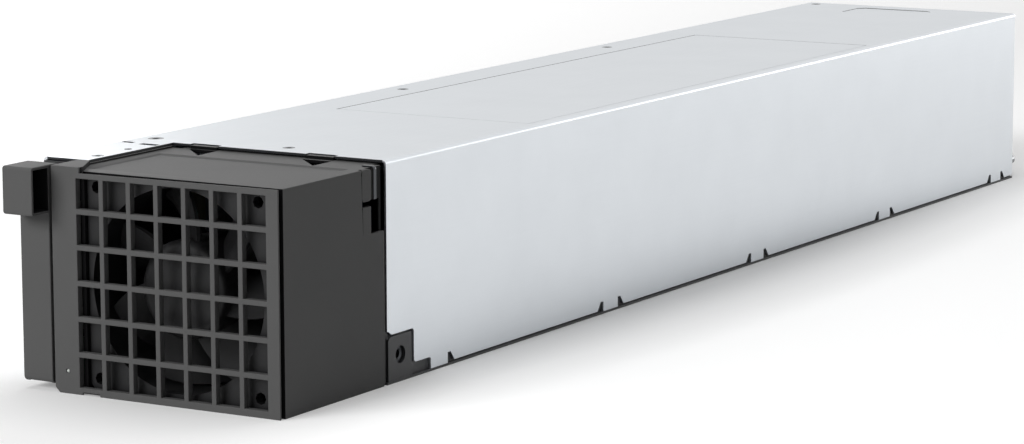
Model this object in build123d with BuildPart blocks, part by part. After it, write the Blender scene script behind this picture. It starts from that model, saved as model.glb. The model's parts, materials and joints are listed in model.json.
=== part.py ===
from build123d import *
from math import atan2, cos, degrees, radians, sin
import os

# Hot-swap server power supply, in millimetres.
# +Z is up, the front with its fan faces -Y, and +X is to the right seen from the front.
# Depths are measured back from the front face of the grille.

# Outer size
body_width = 117.0
body_height = 85.0
body_length = 671.0
grip_reach = 10.0
pin_reach = 12.0
half_width = body_width / 2
front_y = (grip_reach - pin_reach - body_length) / 2

# Sheet metal and fits
sheet = 1.0
bend = 1.6
slip = 0.1
screw_fit = 0.05
running_fit = 0.05
wall_gap = 1.6
cover_inside = half_width - sheet
cover_under = body_height - sheet
flange_face = cover_inside - slip
flange_height = 12.0

# Front shroud
housing_depth = 69.4
housing_left = 16.2 - half_width
housing_top = body_height - 1.7
housing_wall = 2.2
housing_floor = 1.6
housing_roof = 1.4
shadow_gap = 1.5
cover_front = housing_depth + shadow_gap
strip_front = 17.0
strip_right = housing_left + 4.3
head_right = housing_left + 5.3
head_front_right = housing_left + 12.8
channel_right = housing_left - 0.7

# Grille
rim_depth = 0.8
groove_back = 2.8
groove_inset = 1.5
window_width = 10.27
window_height = 11.36
bar = 2.0
window_columns = 7
window_rows = 6
field_x = half_width - 47.54
field_z = housing_top / 2 + 0.15

# Fan
fan_size = 80.0
fan_thick = 38.0
fan_holes = 71.5
fan_front = 4.5
fan_x = field_x
fan_z = (housing_floor + housing_top - housing_roof) / 2
fan_bore = 38.0
fan_flange = 4.0
fan_gap = 0.15
hub_radius = 18.5
blade_count = 7
blade_radius = 37.2
shaft_radius = 1.5
bearing_radius = 4.0
fan_back = fan_front + fan_thick
web_thick = 2.0

# Ejector lever
lever_left = 1.5 - half_width
lever_width = 13.5
lever_wall = 1.8
hinge_depth = 7.2
hinge_height = 10.0
lever_knuckle = 7.2
hinge_radius = 1.5
grip_height = 18.0
lever_top_depth = 5.5
bracket_depth = 15.4
bracket_sheet = 1.2
bracket_gap = 0.3

# Side ear and rear guide pins
ear_depth = cover_front + 9.3
ear_height = 10.3
ear_hole = 3.4
ear_thread = 1.65
pin_radius = 2.4
pin_x = half_width - 5.2
pin_z = 8.0

# Hook tabs along both side walls
tab_first = ear_depth + 27.6
tab_count = 5
tab_pitch = (body_length - 21.6 - tab_first) / (tab_count - 1)
tab_width = 12.3
slit_width = 2.2
slit_height = 5.2
slit_flare = 2.8

# Top plate and its seat
plate_left = 20.5 - half_width
plate_right = half_width - 5.0
plate_front = 184.7
plate_rear = body_length - 169.0
plate_seam = 0.7
plate_fit = 0.15
seat_width = 4.0

# Countersunk screws in the top: small ones, and one larger in the front bulkhead
screw_shank = 1.5
screw_head = 2.5
big_shank = 1.7
big_head = 3.4
left_screw = (housing_left + 0.6, 28.0)
tongue_screw = (fan_x - 2.36, cover_front + 10.0)
rear_screw = (7.6 - half_width, body_length - 7.0)
bulkhead_place = (7.8 - half_width, cover_front + 6.2)

# Boards
board_front = cover_front + 29.1
board_rear = body_length - 16.0
board_half = half_width - 4.5
board_under = 7.0
board_thick = 1.6
board_top = board_under + board_thick
insulator = 0.4

# Depths between which the layout of the main board was drawn
layout_front = 100.0
layout_rear = 655.0

# Rear connector
connector_half = 34.0
connector_low = 3.5
connector_high = 22.0
connector_front = body_length - 31.0
connector_reach = 6.0

os.makedirs("parts", exist_ok=True)


def cross_plane(depth):
    """Plane across the unit at a depth: its x is X, its y is Z, and it faces the front."""
    return Plane(origin=(0, front_y + depth, 0), x_dir=(1, 0, 0), z_dir=(0, -1, 0))


def side_plane(x):
    """Upright plane along the unit: its x is the depth, its y is Z, and it faces +X."""
    return Plane(origin=(x, front_y, 0), x_dir=(0, 1, 0), z_dir=(1, 0, 0))


def level_plane(z):
    """Level plane: its x is X and its y is the depth."""
    return Plane(origin=(0, front_y, z), x_dir=(1, 0, 0), z_dir=(0, 0, 1))


def along(depth):
    """Depth of a board place, which moves in step with the length of the board."""
    share = (depth - layout_front) / (layout_rear - layout_front)
    return board_front + share * (board_rear - board_front)


def span(low, high, near, far, mode=Mode.ADD):
    """Rectangle of a sketch between two corners."""
    with Locations(((low + high) / 2, (near + far) / 2)):
        Rectangle(high - low, far - near, mode=mode)


def block(x0, x1, d0, d1, z0, z1, mode=Mode.ADD):
    """Block of a part between two corners: X, depth and Z."""
    with Locations(((x0 + x1) / 2, front_y + (d0 + d1) / 2, (z0 + z1) / 2)):
        Box(x1 - x0, d1 - d0, z1 - z0, mode=mode)


def flat_post(x, depth, z0, z1, radius, sides, mode=Mode.ADD):
    """Upright post of a part with flat sides."""
    with BuildSketch(level_plane(z0)) as outline:
        with Locations((x, depth)):
            RegularPolygon(radius, sides)
    extrude(outline.sketch, amount=z1 - z0, mode=mode)


def barrel(x, z, d0, d1, radius, mode=Mode.ADD):
    """Round bar of a part along the depth."""
    with Locations(Location((x, front_y + (d0 + d1) / 2, z), (90, 0, 0))):
        Cylinder(radius, d1 - d0, mode=mode)


def flat_barrel(x, z, d0, d1, radius, sides, mode=Mode.ADD):
    """Bar of a part along the depth, with flat sides."""
    with BuildSketch(cross_plane(d0)) as outline:
        with Locations((x, z)):
            RegularPolygon(radius, sides)
    extrude(outline.sketch, amount=d0 - d1, mode=mode)


def sunk_head(x, depth, head, shank, mode=Mode.ADD):
    """Countersunk head or its seat in the top sheet, with twelve sides."""
    with BuildSketch(level_plane(body_height)) as outline:
        with Locations((x, depth)):
            RegularPolygon(head, 12)
    slope = degrees(atan2(head - shank, sheet))
    extrude(outline.sketch, amount=-sheet, taper=slope, mode=mode)


def wound_ring(place, upright, middle, tube):
    """Ring choke: a ten-sided band with chamfered rims, lying flat or upright across the unit."""
    outer = middle + tube
    plane = Plane(origin=place, x_dir=(1, 0, 0), z_dir=(0, -1, 0) if upright else (0, 0, 1))
    with BuildPart(mode=Mode.PRIVATE) as ring:
        with BuildSketch(plane):
            RegularPolygon(outer, 10)
            RegularPolygon(middle - tube, 10, mode=Mode.SUBTRACT)
        extrude(amount=tube, both=True)
        rims = faces().filter_by(Axis.Y if upright else Axis.Z).edges()
        chamfer(rims, tube * 0.4)
    add(ring.part)


def save(piece, name):
    """Label a finished piece and write it."""
    piece.part.label = name
    export_step(piece.part, f"parts/{name}.step")


# Bottom tray: the floor, its inner flanges, the side ear and the two front upstands
tab_centres = [tab_first + i * tab_pitch for i in range(tab_count)]
bulkhead_depth = cover_front + 1.1
bulkhead_right = channel_right - 1.0
front_flange_top = 14.0
flange_end = body_length - sheet - 1.1
ear_cut_top = 18.8
ear_cut_rear = ear_depth + 9.4
ear_gap = 0.8
boss_places = [(fan_x - 33.0, 9.0), (fan_x + 33.0, 9.0)]

with BuildPart() as bottom_tray:
    with BuildSketch(level_plane(0)):
        span(-half_width, half_width, cover_front, body_length)
        span(-half_width, channel_right, strip_front, cover_front)
    extrude(amount=sheet)
    with BuildSketch(side_plane(flange_face)):
        with BuildLine():
            FilletPolyline(
                (cover_front, 0),
                (cover_front, 24),
                (ear_depth + 15, 24),
                (ear_depth + 22, flange_height),
                (flange_end, flange_height),
                (flange_end, 0),
                radius=1.5,
                close=True,
            )
        make_face()
        with Locations((ear_depth, ear_height)):
            Circle(ear_hole, mode=Mode.SUBTRACT)
    extrude(amount=-sheet)
    # Face of the ear, flush with the cover and a little smaller than its opening
    with BuildSketch(side_plane(flange_face)):
        span(cover_front + ear_gap, ear_cut_rear - 2 * ear_gap, 0, ear_cut_top - ear_gap)
        fillet(vertices().group_by(Axis.Y)[-1].sort_by(Axis.X)[0], 2.2)
        with Locations((ear_depth, ear_height)):
            Circle(ear_hole, mode=Mode.SUBTRACT)
    extrude(amount=sheet)
    with BuildSketch(side_plane(-flange_face)):
        span(strip_front + 1, flange_end, 0, flange_height)
    extrude(amount=sheet)
    with BuildSketch(cross_plane(cover_front)):
        span(housing_left + 2, flange_face - sheet, 0, front_flange_top)
        with Locations(*boss_places):
            RegularPolygon(screw_shank + screw_fit, 8, mode=Mode.SUBTRACT)
    extrude(amount=-sheet)
    with BuildSketch(cross_plane(bulkhead_depth)):
        span(sheet - flange_face, bulkhead_right, 0, cover_under)
    extrude(amount=-sheet)
    with BuildSketch(level_plane(cover_under)):
        span(sheet - flange_face, bulkhead_right, bulkhead_depth, bulkhead_depth + 12)
        with Locations(bulkhead_place):
            RegularPolygon(big_shank + screw_fit, 8, mode=Mode.SUBTRACT)
    extrude(amount=-sheet)
save(bottom_tray, "bottom_tray")

# Main cover: folded from one sheet, open at the front right where the shroud stands
notch_spans = [(fan_x - 41.0, fan_x - 28.0), (fan_x + 12.0, fan_x + 25.0)]
notch_deep = 2.5
ear_step = 5.6
heatsink_screw = (9.6 - half_width, along(253.5))
rectifier_screw = (8.7 - half_width, along(435.4))
small_screws = [left_screw, tongue_screw, heatsink_screw, rectifier_screw, rear_screw]
gauge_hole = (housing_left - 0.2, 48.0)
slot_places = [
    (4.5 - half_width, cover_front - 7.4, 5.5, 2.6),
    (housing_left - 0.6, cover_front - 8.9, 8.0, 3.2),
]
mark_centre = (-2.5, body_length - 24.5)
mark_size = (41.0, 25.0)
mark_deep = 0.25

with BuildPart() as main_cover:
    with BuildSketch(cross_plane(strip_front)):
        span(-half_width, half_width, 0, body_height)
        top_corners = vertices().group_by(Axis.Y)[-1]
        fillet(top_corners, bend)
        with BuildSketch(mode=Mode.PRIVATE) as inside:
            span(-cover_inside, cover_inside, -1, cover_under)
            fillet(inside.vertices().group_by(Axis.Y)[-1], bend - sheet)
        add(inside.sketch, mode=Mode.SUBTRACT)
    extrude(amount=strip_front - body_length)
    with BuildSketch(level_plane(0)):
        span(strip_right, half_width + 1, 0, cover_front)
        for low, high in notch_spans:
            span(low, high, cover_front - 1, cover_front + notch_deep)
    extrude(amount=body_height + 1, mode=Mode.SUBTRACT)
    # Lower edge with its hook tabs, each between two flared slits
    with BuildSketch(side_plane(-half_width - 1)):
        span(0, body_length + 1, -1, wall_gap)
        for centre in tab_centres:
            half_tab = tab_width / 2
            span(centre - half_tab, centre + half_tab, sheet, wall_gap + 1, mode=Mode.SUBTRACT)
            for way in (-1, 1):
                inner = centre + way * half_tab
                with BuildLine():
                    Polyline(
                        (inner, -1),
                        (inner, slit_height),
                        (inner + way * slit_width, slit_height),
                        (inner + way * (slit_width + slit_flare), wall_gap),
                        (inner + way * (slit_width + slit_flare), -1),
                        close=True,
                    )
                make_face()
        with BuildLine():
            Polyline((body_length - 2, -1), (body_length + 1, 5), (body_length + 1, -1), close=True)
        make_face()
    extrude(amount=body_width + 2, mode=Mode.SUBTRACT)
    # Opening in the right wall over the side ear
    with BuildSketch(side_plane(cover_inside - 0.5)):
        with BuildLine():
            FilletPolyline(
                (cover_front - 1, -1),
                (cover_front - 1, ear_cut_top + 2.6),
                (cover_front + 3, ear_cut_top),
                (ear_cut_rear, ear_cut_top),
                (ear_cut_rear, ear_step),
                (tab_first - tab_width / 2, ear_step),
                (tab_first - tab_width / 2, -1),
                radius=1.4,
                close=True,
            )
        make_face()
    extrude(amount=sheet + 1, mode=Mode.SUBTRACT)
    # Seat of the top plate, pressed down by one sheet
    with BuildSketch(level_plane(cover_under)):
        span(plate_left, plate_right, plate_front, plate_rear)
    extrude(amount=sheet + 1, mode=Mode.SUBTRACT)
    with BuildSketch(level_plane(cover_under)):
        span(plate_left - sheet, plate_right + sheet, plate_front - sheet, plate_rear + sheet)
        span(
            plate_left + seat_width,
            plate_right - seat_width,
            plate_front + seat_width,
            plate_rear - seat_width,
            mode=Mode.SUBTRACT,
        )
    extrude(amount=-sheet)
    # Screw holes, the gauge hole, two slots and the plain pressed mark at the rear
    for place in small_screws:
        sunk_head(*place, screw_head, screw_shank + screw_fit, Mode.SUBTRACT)
    sunk_head(*bulkhead_place, big_head, big_shank + screw_fit, Mode.SUBTRACT)
    with BuildSketch(level_plane(cover_under - 0.5)):
        with Locations(gauge_hole):
            RegularPolygon(1.6, 8)
        for x, depth, long, wide in slot_places:
            with Locations((x, depth)):
                Rectangle(long, wide)
    extrude(amount=sheet + 1, mode=Mode.SUBTRACT)
    with BuildSketch(level_plane(body_height - mark_deep)):
        with Locations(mark_centre):
            Rectangle(*mark_size)
            chamfer(vertices(), 3)
    extrude(amount=1, mode=Mode.SUBTRACT)
save(main_cover, "main_cover")

# Top plate: lies on its seat flush with the cover
with BuildPart() as top_plate:
    with BuildSketch(level_plane(cover_under)):
        span(
            plate_left + plate_seam,
            plate_right - plate_fit,
            plate_front + plate_fit,
            plate_rear - plate_seam,
        )
    extrude(amount=sheet)
save(top_plate, "top_plate")


def countersunk(place, head, shank, length):
    """Countersunk screw, its head flush with the top of the cover."""
    sunk_head(*place, head - screw_fit, shank)
    flat_post(*place, cover_under - length, cover_under + sheet / 2, shank, 8)


# Cover screws: five small ones, and the larger one into the bulkhead
with BuildPart() as cover_screws:
    for place in small_screws:
        countersunk(place, screw_head, screw_shank, 6.0)
save(cover_screws, "cover_screws")

with BuildPart() as bulkhead_screw:
    countersunk(bulkhead_place, big_head, big_shank, 5.0)
save(bulkhead_screw, "bulkhead_screw")

# Rear panel: vented plate with side and top flanges inside the cover
panel_face = body_length - sheet
vent_pitch = 11.4
vent_flats = 9.0
vent_columns = 8
vent_rows = 4
vent_height = body_height - 31.0
panel_flange = 15.0

with BuildPart() as rear_panel:
    with BuildSketch(cross_plane(panel_face)):
        span(-flange_face, flange_face, sheet, cover_under)
        fillet(vertices().group_by(Axis.Y)[-1], bend)
        with Locations((0, vent_height)):
            with HexLocations(vent_pitch / 2, vent_columns, vent_rows):
                RegularPolygon(vent_flats / 2, 6, major_radius=False, rotation=30, mode=Mode.SUBTRACT)
        span(
            -connector_half - slip,
            connector_half + slip,
            connector_low - slip,
            connector_high + slip,
            mode=Mode.SUBTRACT,
        )
        with Locations((-pin_x, pin_z), (pin_x, pin_z)):
            RegularPolygon(pin_radius - 0.6 + screw_fit, 8, mode=Mode.SUBTRACT)
    extrude(amount=-sheet)
    for side in (-1, 1):
        with BuildSketch(side_plane(side * flange_face)):
            span(panel_face - panel_flange, panel_face + sheet / 2, flange_height + 1, cover_under - bend)
        extrude(amount=-side * sheet)
    with BuildSketch(level_plane(cover_under)):
        span(bend - flange_face, flange_face - bend, panel_face - panel_flange, panel_face + sheet / 2)
        with Locations(rear_screw):
            RegularPolygon(screw_shank + screw_fit, 8, mode=Mode.SUBTRACT)
    extrude(amount=-sheet)
save(rear_panel, "rear_panel")

# Guide pins: steel, riveted into the rear panel, each with a tapered nose
pin_straight = pin_reach - pin_radius
with BuildPart() as guide_pins:
    for side in (-1, 1):
        x = side * pin_x
        flat_barrel(x, pin_z, panel_face - 1.2, panel_face, pin_radius + 0.5, 8)
        flat_barrel(x, pin_z, panel_face - 0.1, body_length + 0.1, pin_radius - 0.6, 8)
        barrel(x, pin_z, body_length, body_length + pin_straight, pin_radius)
        with Locations(Location((x, front_y + body_length + pin_straight, pin_z), (-90, 0, 0))):
            Cone(
                pin_radius,
                pin_radius * 0.4,
                pin_reach - pin_straight,
                align=(Align.CENTER, Align.CENTER, Align.MIN),
            )
save(guide_pins, "guide_pins")

# Clinch nut behind the hole of the side ear
with BuildPart() as ear_nut:
    with BuildSketch(Plane.YZ.offset(flange_face - sheet)):
        with Locations((front_y + ear_depth, ear_height)):
            RegularPolygon(ear_hole + 1.8, 8)
            Circle(ear_thread, mode=Mode.SUBTRACT)
    extrude(amount=-3.5)
    with BuildSketch(Plane.YZ.offset(flange_face - sheet)):
        with Locations((front_y + ear_depth, ear_height)):
            Circle(ear_hole - screw_fit)
            Circle(ear_thread, mode=Mode.SUBTRACT)
    extrude(amount=sheet - slip)
save(ear_nut, "ear_nut")

# Front shroud: a moulded box round the fan, with a dry room at the left for the light
room_left = housing_left + housing_wall
partition_right = fan_x - fan_size / 2 - fan_gap
partition_left = partition_right - 1.7
fan_wall_left = fan_x + fan_size / 2 + fan_gap
fan_wall_right = fan_wall_left + 1.5
right_room = half_width - housing_wall
roof_under = housing_top - housing_roof
web_front = fan_back + fan_gap
web_back = web_front + web_thick
snap_recesses = [
    ((fan_x - 41.0, housing_depth + 0.6), (fan_x - 28.0, housing_depth + 0.6), (fan_x - 27.5, housing_depth - 12.4)),
    ((fan_x + 12.0, housing_depth - 0.9), (fan_x + 25.0, housing_depth - 0.9), (fan_x + 25.0, housing_depth - 13.4)),
]
pocket_deep = 0.6
lip_end = cover_front + 5.0
snap_gap = 0.4
notch_front = housing_depth - 15.4
notch_low = housing_top - 24.3
slot_low = housing_top - 14.0
slot_high = housing_top - 12.0
notch_deepness = 1.5
tongue_end = tongue_screw[1] + 6.0
tongue_half = 9.0

with BuildPart() as fan_housing:
    with BuildSketch(cross_plane(groove_back)):
        span(housing_left, half_width, 0, housing_top)
        span(room_left, partition_left, housing_floor, roof_under, mode=Mode.SUBTRACT)
        span(partition_right, right_room, housing_floor, roof_under, mode=Mode.SUBTRACT)
    extrude(amount=groove_back - housing_depth)
    # Bottom rear corner of the right wall is rounded
    rear_corner = edges().filter_by(Axis.X).group_by(Axis.Y)[-1].sort_by(Axis.Z)[0]
    fillet(rear_corner, 1.4)
    # Raised head at the top left, beside and under the strip of the cover
    with BuildSketch(cross_plane(groove_back)):
        span(housing_left, head_right, housing_top - 1, cover_under)
    extrude(amount=groove_back - housing_depth)
    with BuildSketch(level_plane(housing_top - 1)):
        with BuildLine():
            Polyline(
                (housing_left, rim_depth),
                (head_front_right, rim_depth),
                (head_front_right, groove_back),
                (head_right, strip_front - slip),
                (housing_left, strip_front - slip),
                close=True,
            )
        make_face()
    extrude(amount=body_height - housing_top + 1)
    # Wall beside the fan, and the web that the fan is screwed to
    with BuildSketch(cross_plane(groove_back)):
        span(fan_wall_left, fan_wall_right, housing_floor / 2, housing_top - housing_roof / 2)
    extrude(amount=groove_back - web_back)
    with BuildSketch(cross_plane(web_front)):
        span(partition_left, right_room + 0.5, housing_floor / 2, housing_top - housing_roof / 2)
        with Locations((fan_x, fan_z)):
            Circle(fan_bore, mode=Mode.SUBTRACT)
            with GridLocations(fan_holes, fan_holes, 2, 2):
                RegularPolygon(screw_shank + 0.5 + screw_fit, 6, mode=Mode.SUBTRACT)
    extrude(amount=-web_thick)
    # Bosses at the rear for the tray, and the boss under the left cover screw
    for x, z in boss_places:
        with BuildSketch(cross_plane(cover_front)):
            span(x - 4.0, x + 4.0, housing_floor / 2, z + 4.0)
            with Locations((x, z)):
                RegularPolygon(screw_shank + screw_fit, 8, mode=Mode.SUBTRACT)
        extrude(amount=12)
    flat_post(*left_screw, cover_under - 12, cover_under, 3.4, 8)
    flat_post(*left_screw, cover_under - 9, cover_under + 1, screw_shank + screw_fit, 8, Mode.SUBTRACT)
    # Lip that reaches under the cover, and a tongue with the boss of the middle screw
    tongue_low = tongue_screw[0] - tongue_half
    tongue_high = tongue_screw[0] + tongue_half
    with BuildSketch(level_plane(housing_top)):
        span(head_right + 4, right_room - 3, housing_depth - 2, lip_end)
        span(tongue_low, tongue_high, housing_depth - 8, tongue_end)
    extrude(amount=-housing_roof)
    flat_post(*tongue_screw, cover_under - 8, cover_under, 4.2, 8)
    flat_post(*tongue_screw, cover_under - 9, cover_under + 1, screw_shank + screw_fit, 8, Mode.SUBTRACT)
    # Snap tabs on the lip, one in each notch of the cover
    for low, high in notch_spans:
        with BuildSketch(level_plane(housing_top - housing_roof)):
            span(low + snap_gap, high - snap_gap, cover_front - 0.7, cover_front + notch_deep - snap_gap)
        extrude(amount=cover_under + 0.6 - housing_top + housing_roof)
    # Shallow pocket in the roof, and the two snap recesses at its rear
    with BuildSketch(level_plane(housing_top)):
        span(head_right + 4, right_room - 3.8, 9.0, housing_depth - 14.4)
    extrude(amount=-pocket_deep, mode=Mode.SUBTRACT, taper=60)
    for corners in snap_recesses:
        with BuildSketch(level_plane(housing_top + 1)):
            with BuildLine():
                Polyline(*corners, close=True)
            make_face()
        extrude(amount=-housing_roof - 2, mode=Mode.SUBTRACT)
    # Notch at the rear top of the right wall: a shallow field, a window, a ledge and a round rib
    with BuildSketch(side_plane(half_width)):
        span(notch_front, housing_depth + 1, notch_low, housing_top + 1)
        span(notch_front + 1.0, notch_front + 6.5, notch_low, slot_low, mode=Mode.SUBTRACT)
        with Locations((notch_front + 3.6, (slot_high + housing_top) / 2)):
            RectangleRounded(6.2, housing_top - slot_high, 1.5, mode=Mode.SUBTRACT)
    extrude(amount=-notch_deepness, mode=Mode.SUBTRACT)
    with BuildSketch(side_plane(half_width)):
        span(notch_front + 7.3, housing_depth - 1.4, notch_low, slot_high)
        span(notch_front + 0.5, housing_depth - 1.4, slot_low, slot_high)
    extrude(amount=-housing_wall - 1, mode=Mode.SUBTRACT)
save(fan_housing, "fan_housing")

# Front grille: rim plate, a plug that seats in the shroud, square windows and snap prongs
grille_right = half_width - 0.3
window_pitch_x = window_width + bar
window_pitch_z = window_height + bar
lens_radius = 0.75
lens_place = (housing_left + 5.9, 8.5)
prong_reach = 12.0

with BuildPart() as front_grille:
    with BuildSketch(cross_plane(0)):
        span(housing_left, grille_right, 0, housing_top)
        chamfer(vertices().sort_by(Axis.X)[:2].sort_by(Axis.Y)[0], 2.0)
        span(housing_left, head_front_right, housing_top - 1, body_height)
        span(fan_x - 40.66, fan_x - 32.86, -1, 1.0, mode=Mode.SUBTRACT)
        with Locations((field_x, field_z)):
            with GridLocations(window_pitch_x, window_pitch_z, window_columns, window_rows):
                Rectangle(window_width, window_height, mode=Mode.SUBTRACT)
        with Locations(lens_place):
            RegularPolygon(lens_radius + 2 * screw_fit, 12, mode=Mode.SUBTRACT)
    extrude(amount=-rim_depth)
    with BuildSketch(cross_plane(rim_depth)):
        span(
            housing_left + groove_inset,
            grille_right - groove_inset,
            groove_inset,
            housing_top - groove_inset,
        )
        with Locations((field_x, field_z)):
            with GridLocations(window_pitch_x, window_pitch_z, window_columns, window_rows):
                Rectangle(window_width, window_height, mode=Mode.SUBTRACT)
        with Locations(lens_place):
            RegularPolygon(lens_radius + 2 * screw_fit, 12, mode=Mode.SUBTRACT)
    extrude(amount=rim_depth - groove_back)
    for z in (22.0, 62.0):
        with BuildSketch(level_plane(z)):
            with BuildLine():
                Polyline(
                    (right_room - slip, groove_back - 0.5),
                    (right_room - slip, groove_back + prong_reach),
                    (right_room - slip - 1.0, groove_back + prong_reach + 1.5),
                    (right_room - slip - 1.6, groove_back + prong_reach + 1.5),
                    (right_room - slip - 1.6, groove_back - 0.5),
                    close=True,
                )
            make_face()
            with BuildLine():
                Polyline(
                    (room_left + slip, groove_back - 0.5),
                    (room_left + slip, groove_back + prong_reach),
                    (room_left + slip + 1.0, groove_back + prong_reach + 1.5),
                    (room_left + slip + 1.6, groove_back + prong_reach + 1.5),
                    (room_left + slip + 1.6, groove_back - 0.5),
                    close=True,
                )
            make_face()
        extrude(amount=8)
save(front_grille, "front_grille")

# Side catch: spring strip hooked over the roof of the shroud
catch_front = housing_depth - 6.8
catch_sheet = 0.6
with BuildPart() as side_catch:
    with BuildSketch(cross_plane(catch_front)):
        span(half_width - 5.3, half_width - 0.1, slot_high + 0.2, housing_top + catch_sheet)
        fillet(vertices().group_by(Axis.X)[-1].sort_by(Axis.Y)[-1], 1.4)
        with BuildSketch(mode=Mode.PRIVATE) as inner_catch:
            span(half_width - 6.5, half_width - 0.1 - catch_sheet, notch_low, housing_top)
            fillet(inner_catch.vertices().group_by(Axis.X)[-1].sort_by(Axis.Y)[-1], 0.5)
        add(inner_catch.sketch, mode=Mode.SUBTRACT)
    extrude(amount=-1.9)
save(side_catch, "side_catch")

# Status light: a light pipe through the grille and a small board behind it
with BuildPart() as status_lens:
    flat_barrel(*lens_place, 0.0, 6.0, lens_radius, 12)
    flat_barrel(*lens_place, groove_back, groove_back + 1.5, 1.8, 8)
save(status_lens, "status_lens")

led_face = 8.6
with BuildPart() as led_board:
    block(room_left + slip, partition_left - slip, led_face, led_face + 1.2, housing_floor, 20.0)
    block(lens_place[0] - 1.5, lens_place[0] + 1.5, 6.3, led_face, lens_place[1] - 1, lens_place[1] + 1)
save(led_board, "led_board")

# Fan frame: two square flanges, a barrel, three stay ribs and the motor base
hole_half = fan_holes / 2
base_radius = 17.0
base_front = fan_back - 3.0
tube_radius = bearing_radius + 1.5

with BuildPart() as fan_frame:
    for flange_front in (fan_front, fan_back - fan_flange):
        with BuildSketch(cross_plane(flange_front)):
            with Locations((fan_x, fan_z)):
                Rectangle(fan_size, fan_size)
                chamfer(vertices(), 2.0)
                Circle(fan_bore, mode=Mode.SUBTRACT)
                with GridLocations(fan_holes, fan_holes, 2, 2):
                    RegularPolygon(2.3, 8, mode=Mode.SUBTRACT)
        extrude(amount=-fan_flange)
    with BuildSketch(cross_plane(fan_front)):
        with Locations((fan_x, fan_z)):
            RegularPolygon(fan_bore + 1.9, 24)
            Circle(fan_bore, mode=Mode.SUBTRACT)
    extrude(amount=-fan_thick)
    with BuildSketch(cross_plane(base_front)):
        with Locations((fan_x, fan_z)):
            RegularPolygon(base_radius, 16)
            with PolarLocations(0, 4, start_angle=45):
                with Locations((fan_bore / 2 + 5, 0)):
                    Rectangle(fan_bore - 8, 3.2)
    extrude(amount=base_front - fan_back)
    flat_barrel(fan_x, fan_z, fan_front + 9, base_front + 1, tube_radius, 12)
    flat_barrel(fan_x, fan_z, fan_front + 8, fan_back - 1, bearing_radius + 0.02, 12, Mode.SUBTRACT)
save(fan_frame, "fan_frame")

# Fan rotor: the hub cup and seven cambered, twisted blades
hub_front = fan_front + 2.0
hub_back = fan_back - 6.5
hub_wall = 1.3
blade_middle = (hub_front + hub_back) / 2
root_pitch = 38.0
tip_pitch = 56.0
blade_chord = 27.0
blade_thick = 1.4
blade_camber = 2.6
hub_chamfer = 1.8

with BuildPart() as fan_rotor:
    barrel(fan_x, fan_z, hub_front, hub_back, hub_radius)
    front_rim = edges().filter_by(GeomType.CIRCLE).sort_by(Axis.Y)[0]
    chamfer(front_rim, hub_chamfer)
    for i in range(blade_count):
        turn = radians(360 / blade_count * i)
        outward = Vector(cos(turn), 0, sin(turn))
        around = Vector(-sin(turn), 0, cos(turn))
        for radius, pitch in ((hub_radius - 0.8, root_pitch), (fan_bore + 1.5, tip_pitch)):
            lean = radians(pitch)
            chord_way = Vector(0, cos(lean), 0) + around * sin(lean)
            middle = Vector(fan_x, front_y + blade_middle, fan_z) + outward * radius
            with BuildSketch(Plane(origin=middle, x_dir=chord_way, z_dir=outward)):
                with BuildLine():
                    Polyline(
                        (-blade_chord / 2, 0),
                        (-blade_chord / 6, blade_camber),
                        (blade_chord / 6, blade_camber),
                        (blade_chord / 2, 0),
                        (blade_chord / 6, blade_camber - blade_thick),
                        (-blade_chord / 6, blade_camber - blade_thick),
                        close=True,
                    )
                make_face()
        loft(ruled=True)
    barrel(fan_x, fan_z, hub_front - 1, hub_back + 1, blade_radius, mode=Mode.INTERSECT)
    barrel(
        fan_x, fan_z, hub_front + hub_wall, hub_back + 1, hub_radius - hub_wall, mode=Mode.SUBTRACT
    )
    flat_barrel(fan_x, fan_z, hub_front + hub_wall - 0.5, hub_front + 6, 3.5, 8)
    barrel(
        fan_x, fan_z, hub_front + hub_wall, hub_front + 7, shaft_radius + 0.01, mode=Mode.SUBTRACT
    )
save(fan_rotor, "fan_rotor")

shaft_end = fan_back - 1.6
with BuildPart() as fan_shaft:
    barrel(fan_x, fan_z, hub_front + hub_wall, shaft_end, shaft_radius)
save(fan_shaft, "fan_shaft")

bearing_length = 4.0
front_bearing = fan_front + 9.5
with BuildPart() as fan_bearings:
    for start in (front_bearing, fan_back - 9.5):
        flat_barrel(fan_x, fan_z, start, start + bearing_length, bearing_radius, 12)
        barrel(
            fan_x,
            fan_z,
            start - 1,
            start + bearing_length + 1,
            shaft_radius + running_fit,
            mode=Mode.SUBTRACT,
        )
save(fan_bearings, "fan_bearings")

magnet_outer = hub_radius - hub_wall
magnet_inner = magnet_outer - 1.8
with BuildPart() as fan_magnet:
    flat_barrel(fan_x, fan_z, fan_front + 12, hub_back - 1, magnet_outer, 16)
    flat_barrel(fan_x, fan_z, fan_front + 11, hub_back, magnet_inner, 16, Mode.SUBTRACT)
save(fan_magnet, "fan_magnet")

stator_poles = 6
with BuildPart() as fan_stator:
    with BuildSketch(cross_plane(fan_front + 13)):
        with Locations((fan_x, fan_z)):
            RegularPolygon(magnet_inner - 0.6, 16)
            RegularPolygon(tube_radius, 12, mode=Mode.SUBTRACT)
            with PolarLocations((tube_radius + magnet_inner) / 2 + 1.5, stator_poles):
                Rectangle(7.0, 1.6, mode=Mode.SUBTRACT)
    extrude(amount=-14)
save(fan_stator, "fan_stator")

with BuildPart() as fan_board:
    flat_barrel(fan_x, fan_z, base_front - 1.2, base_front, base_radius - 1, 16)
    flat_barrel(fan_x, fan_z, base_front - 3, base_front + 1, tube_radius, 12, Mode.SUBTRACT)
save(fan_board, "fan_board")

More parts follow.
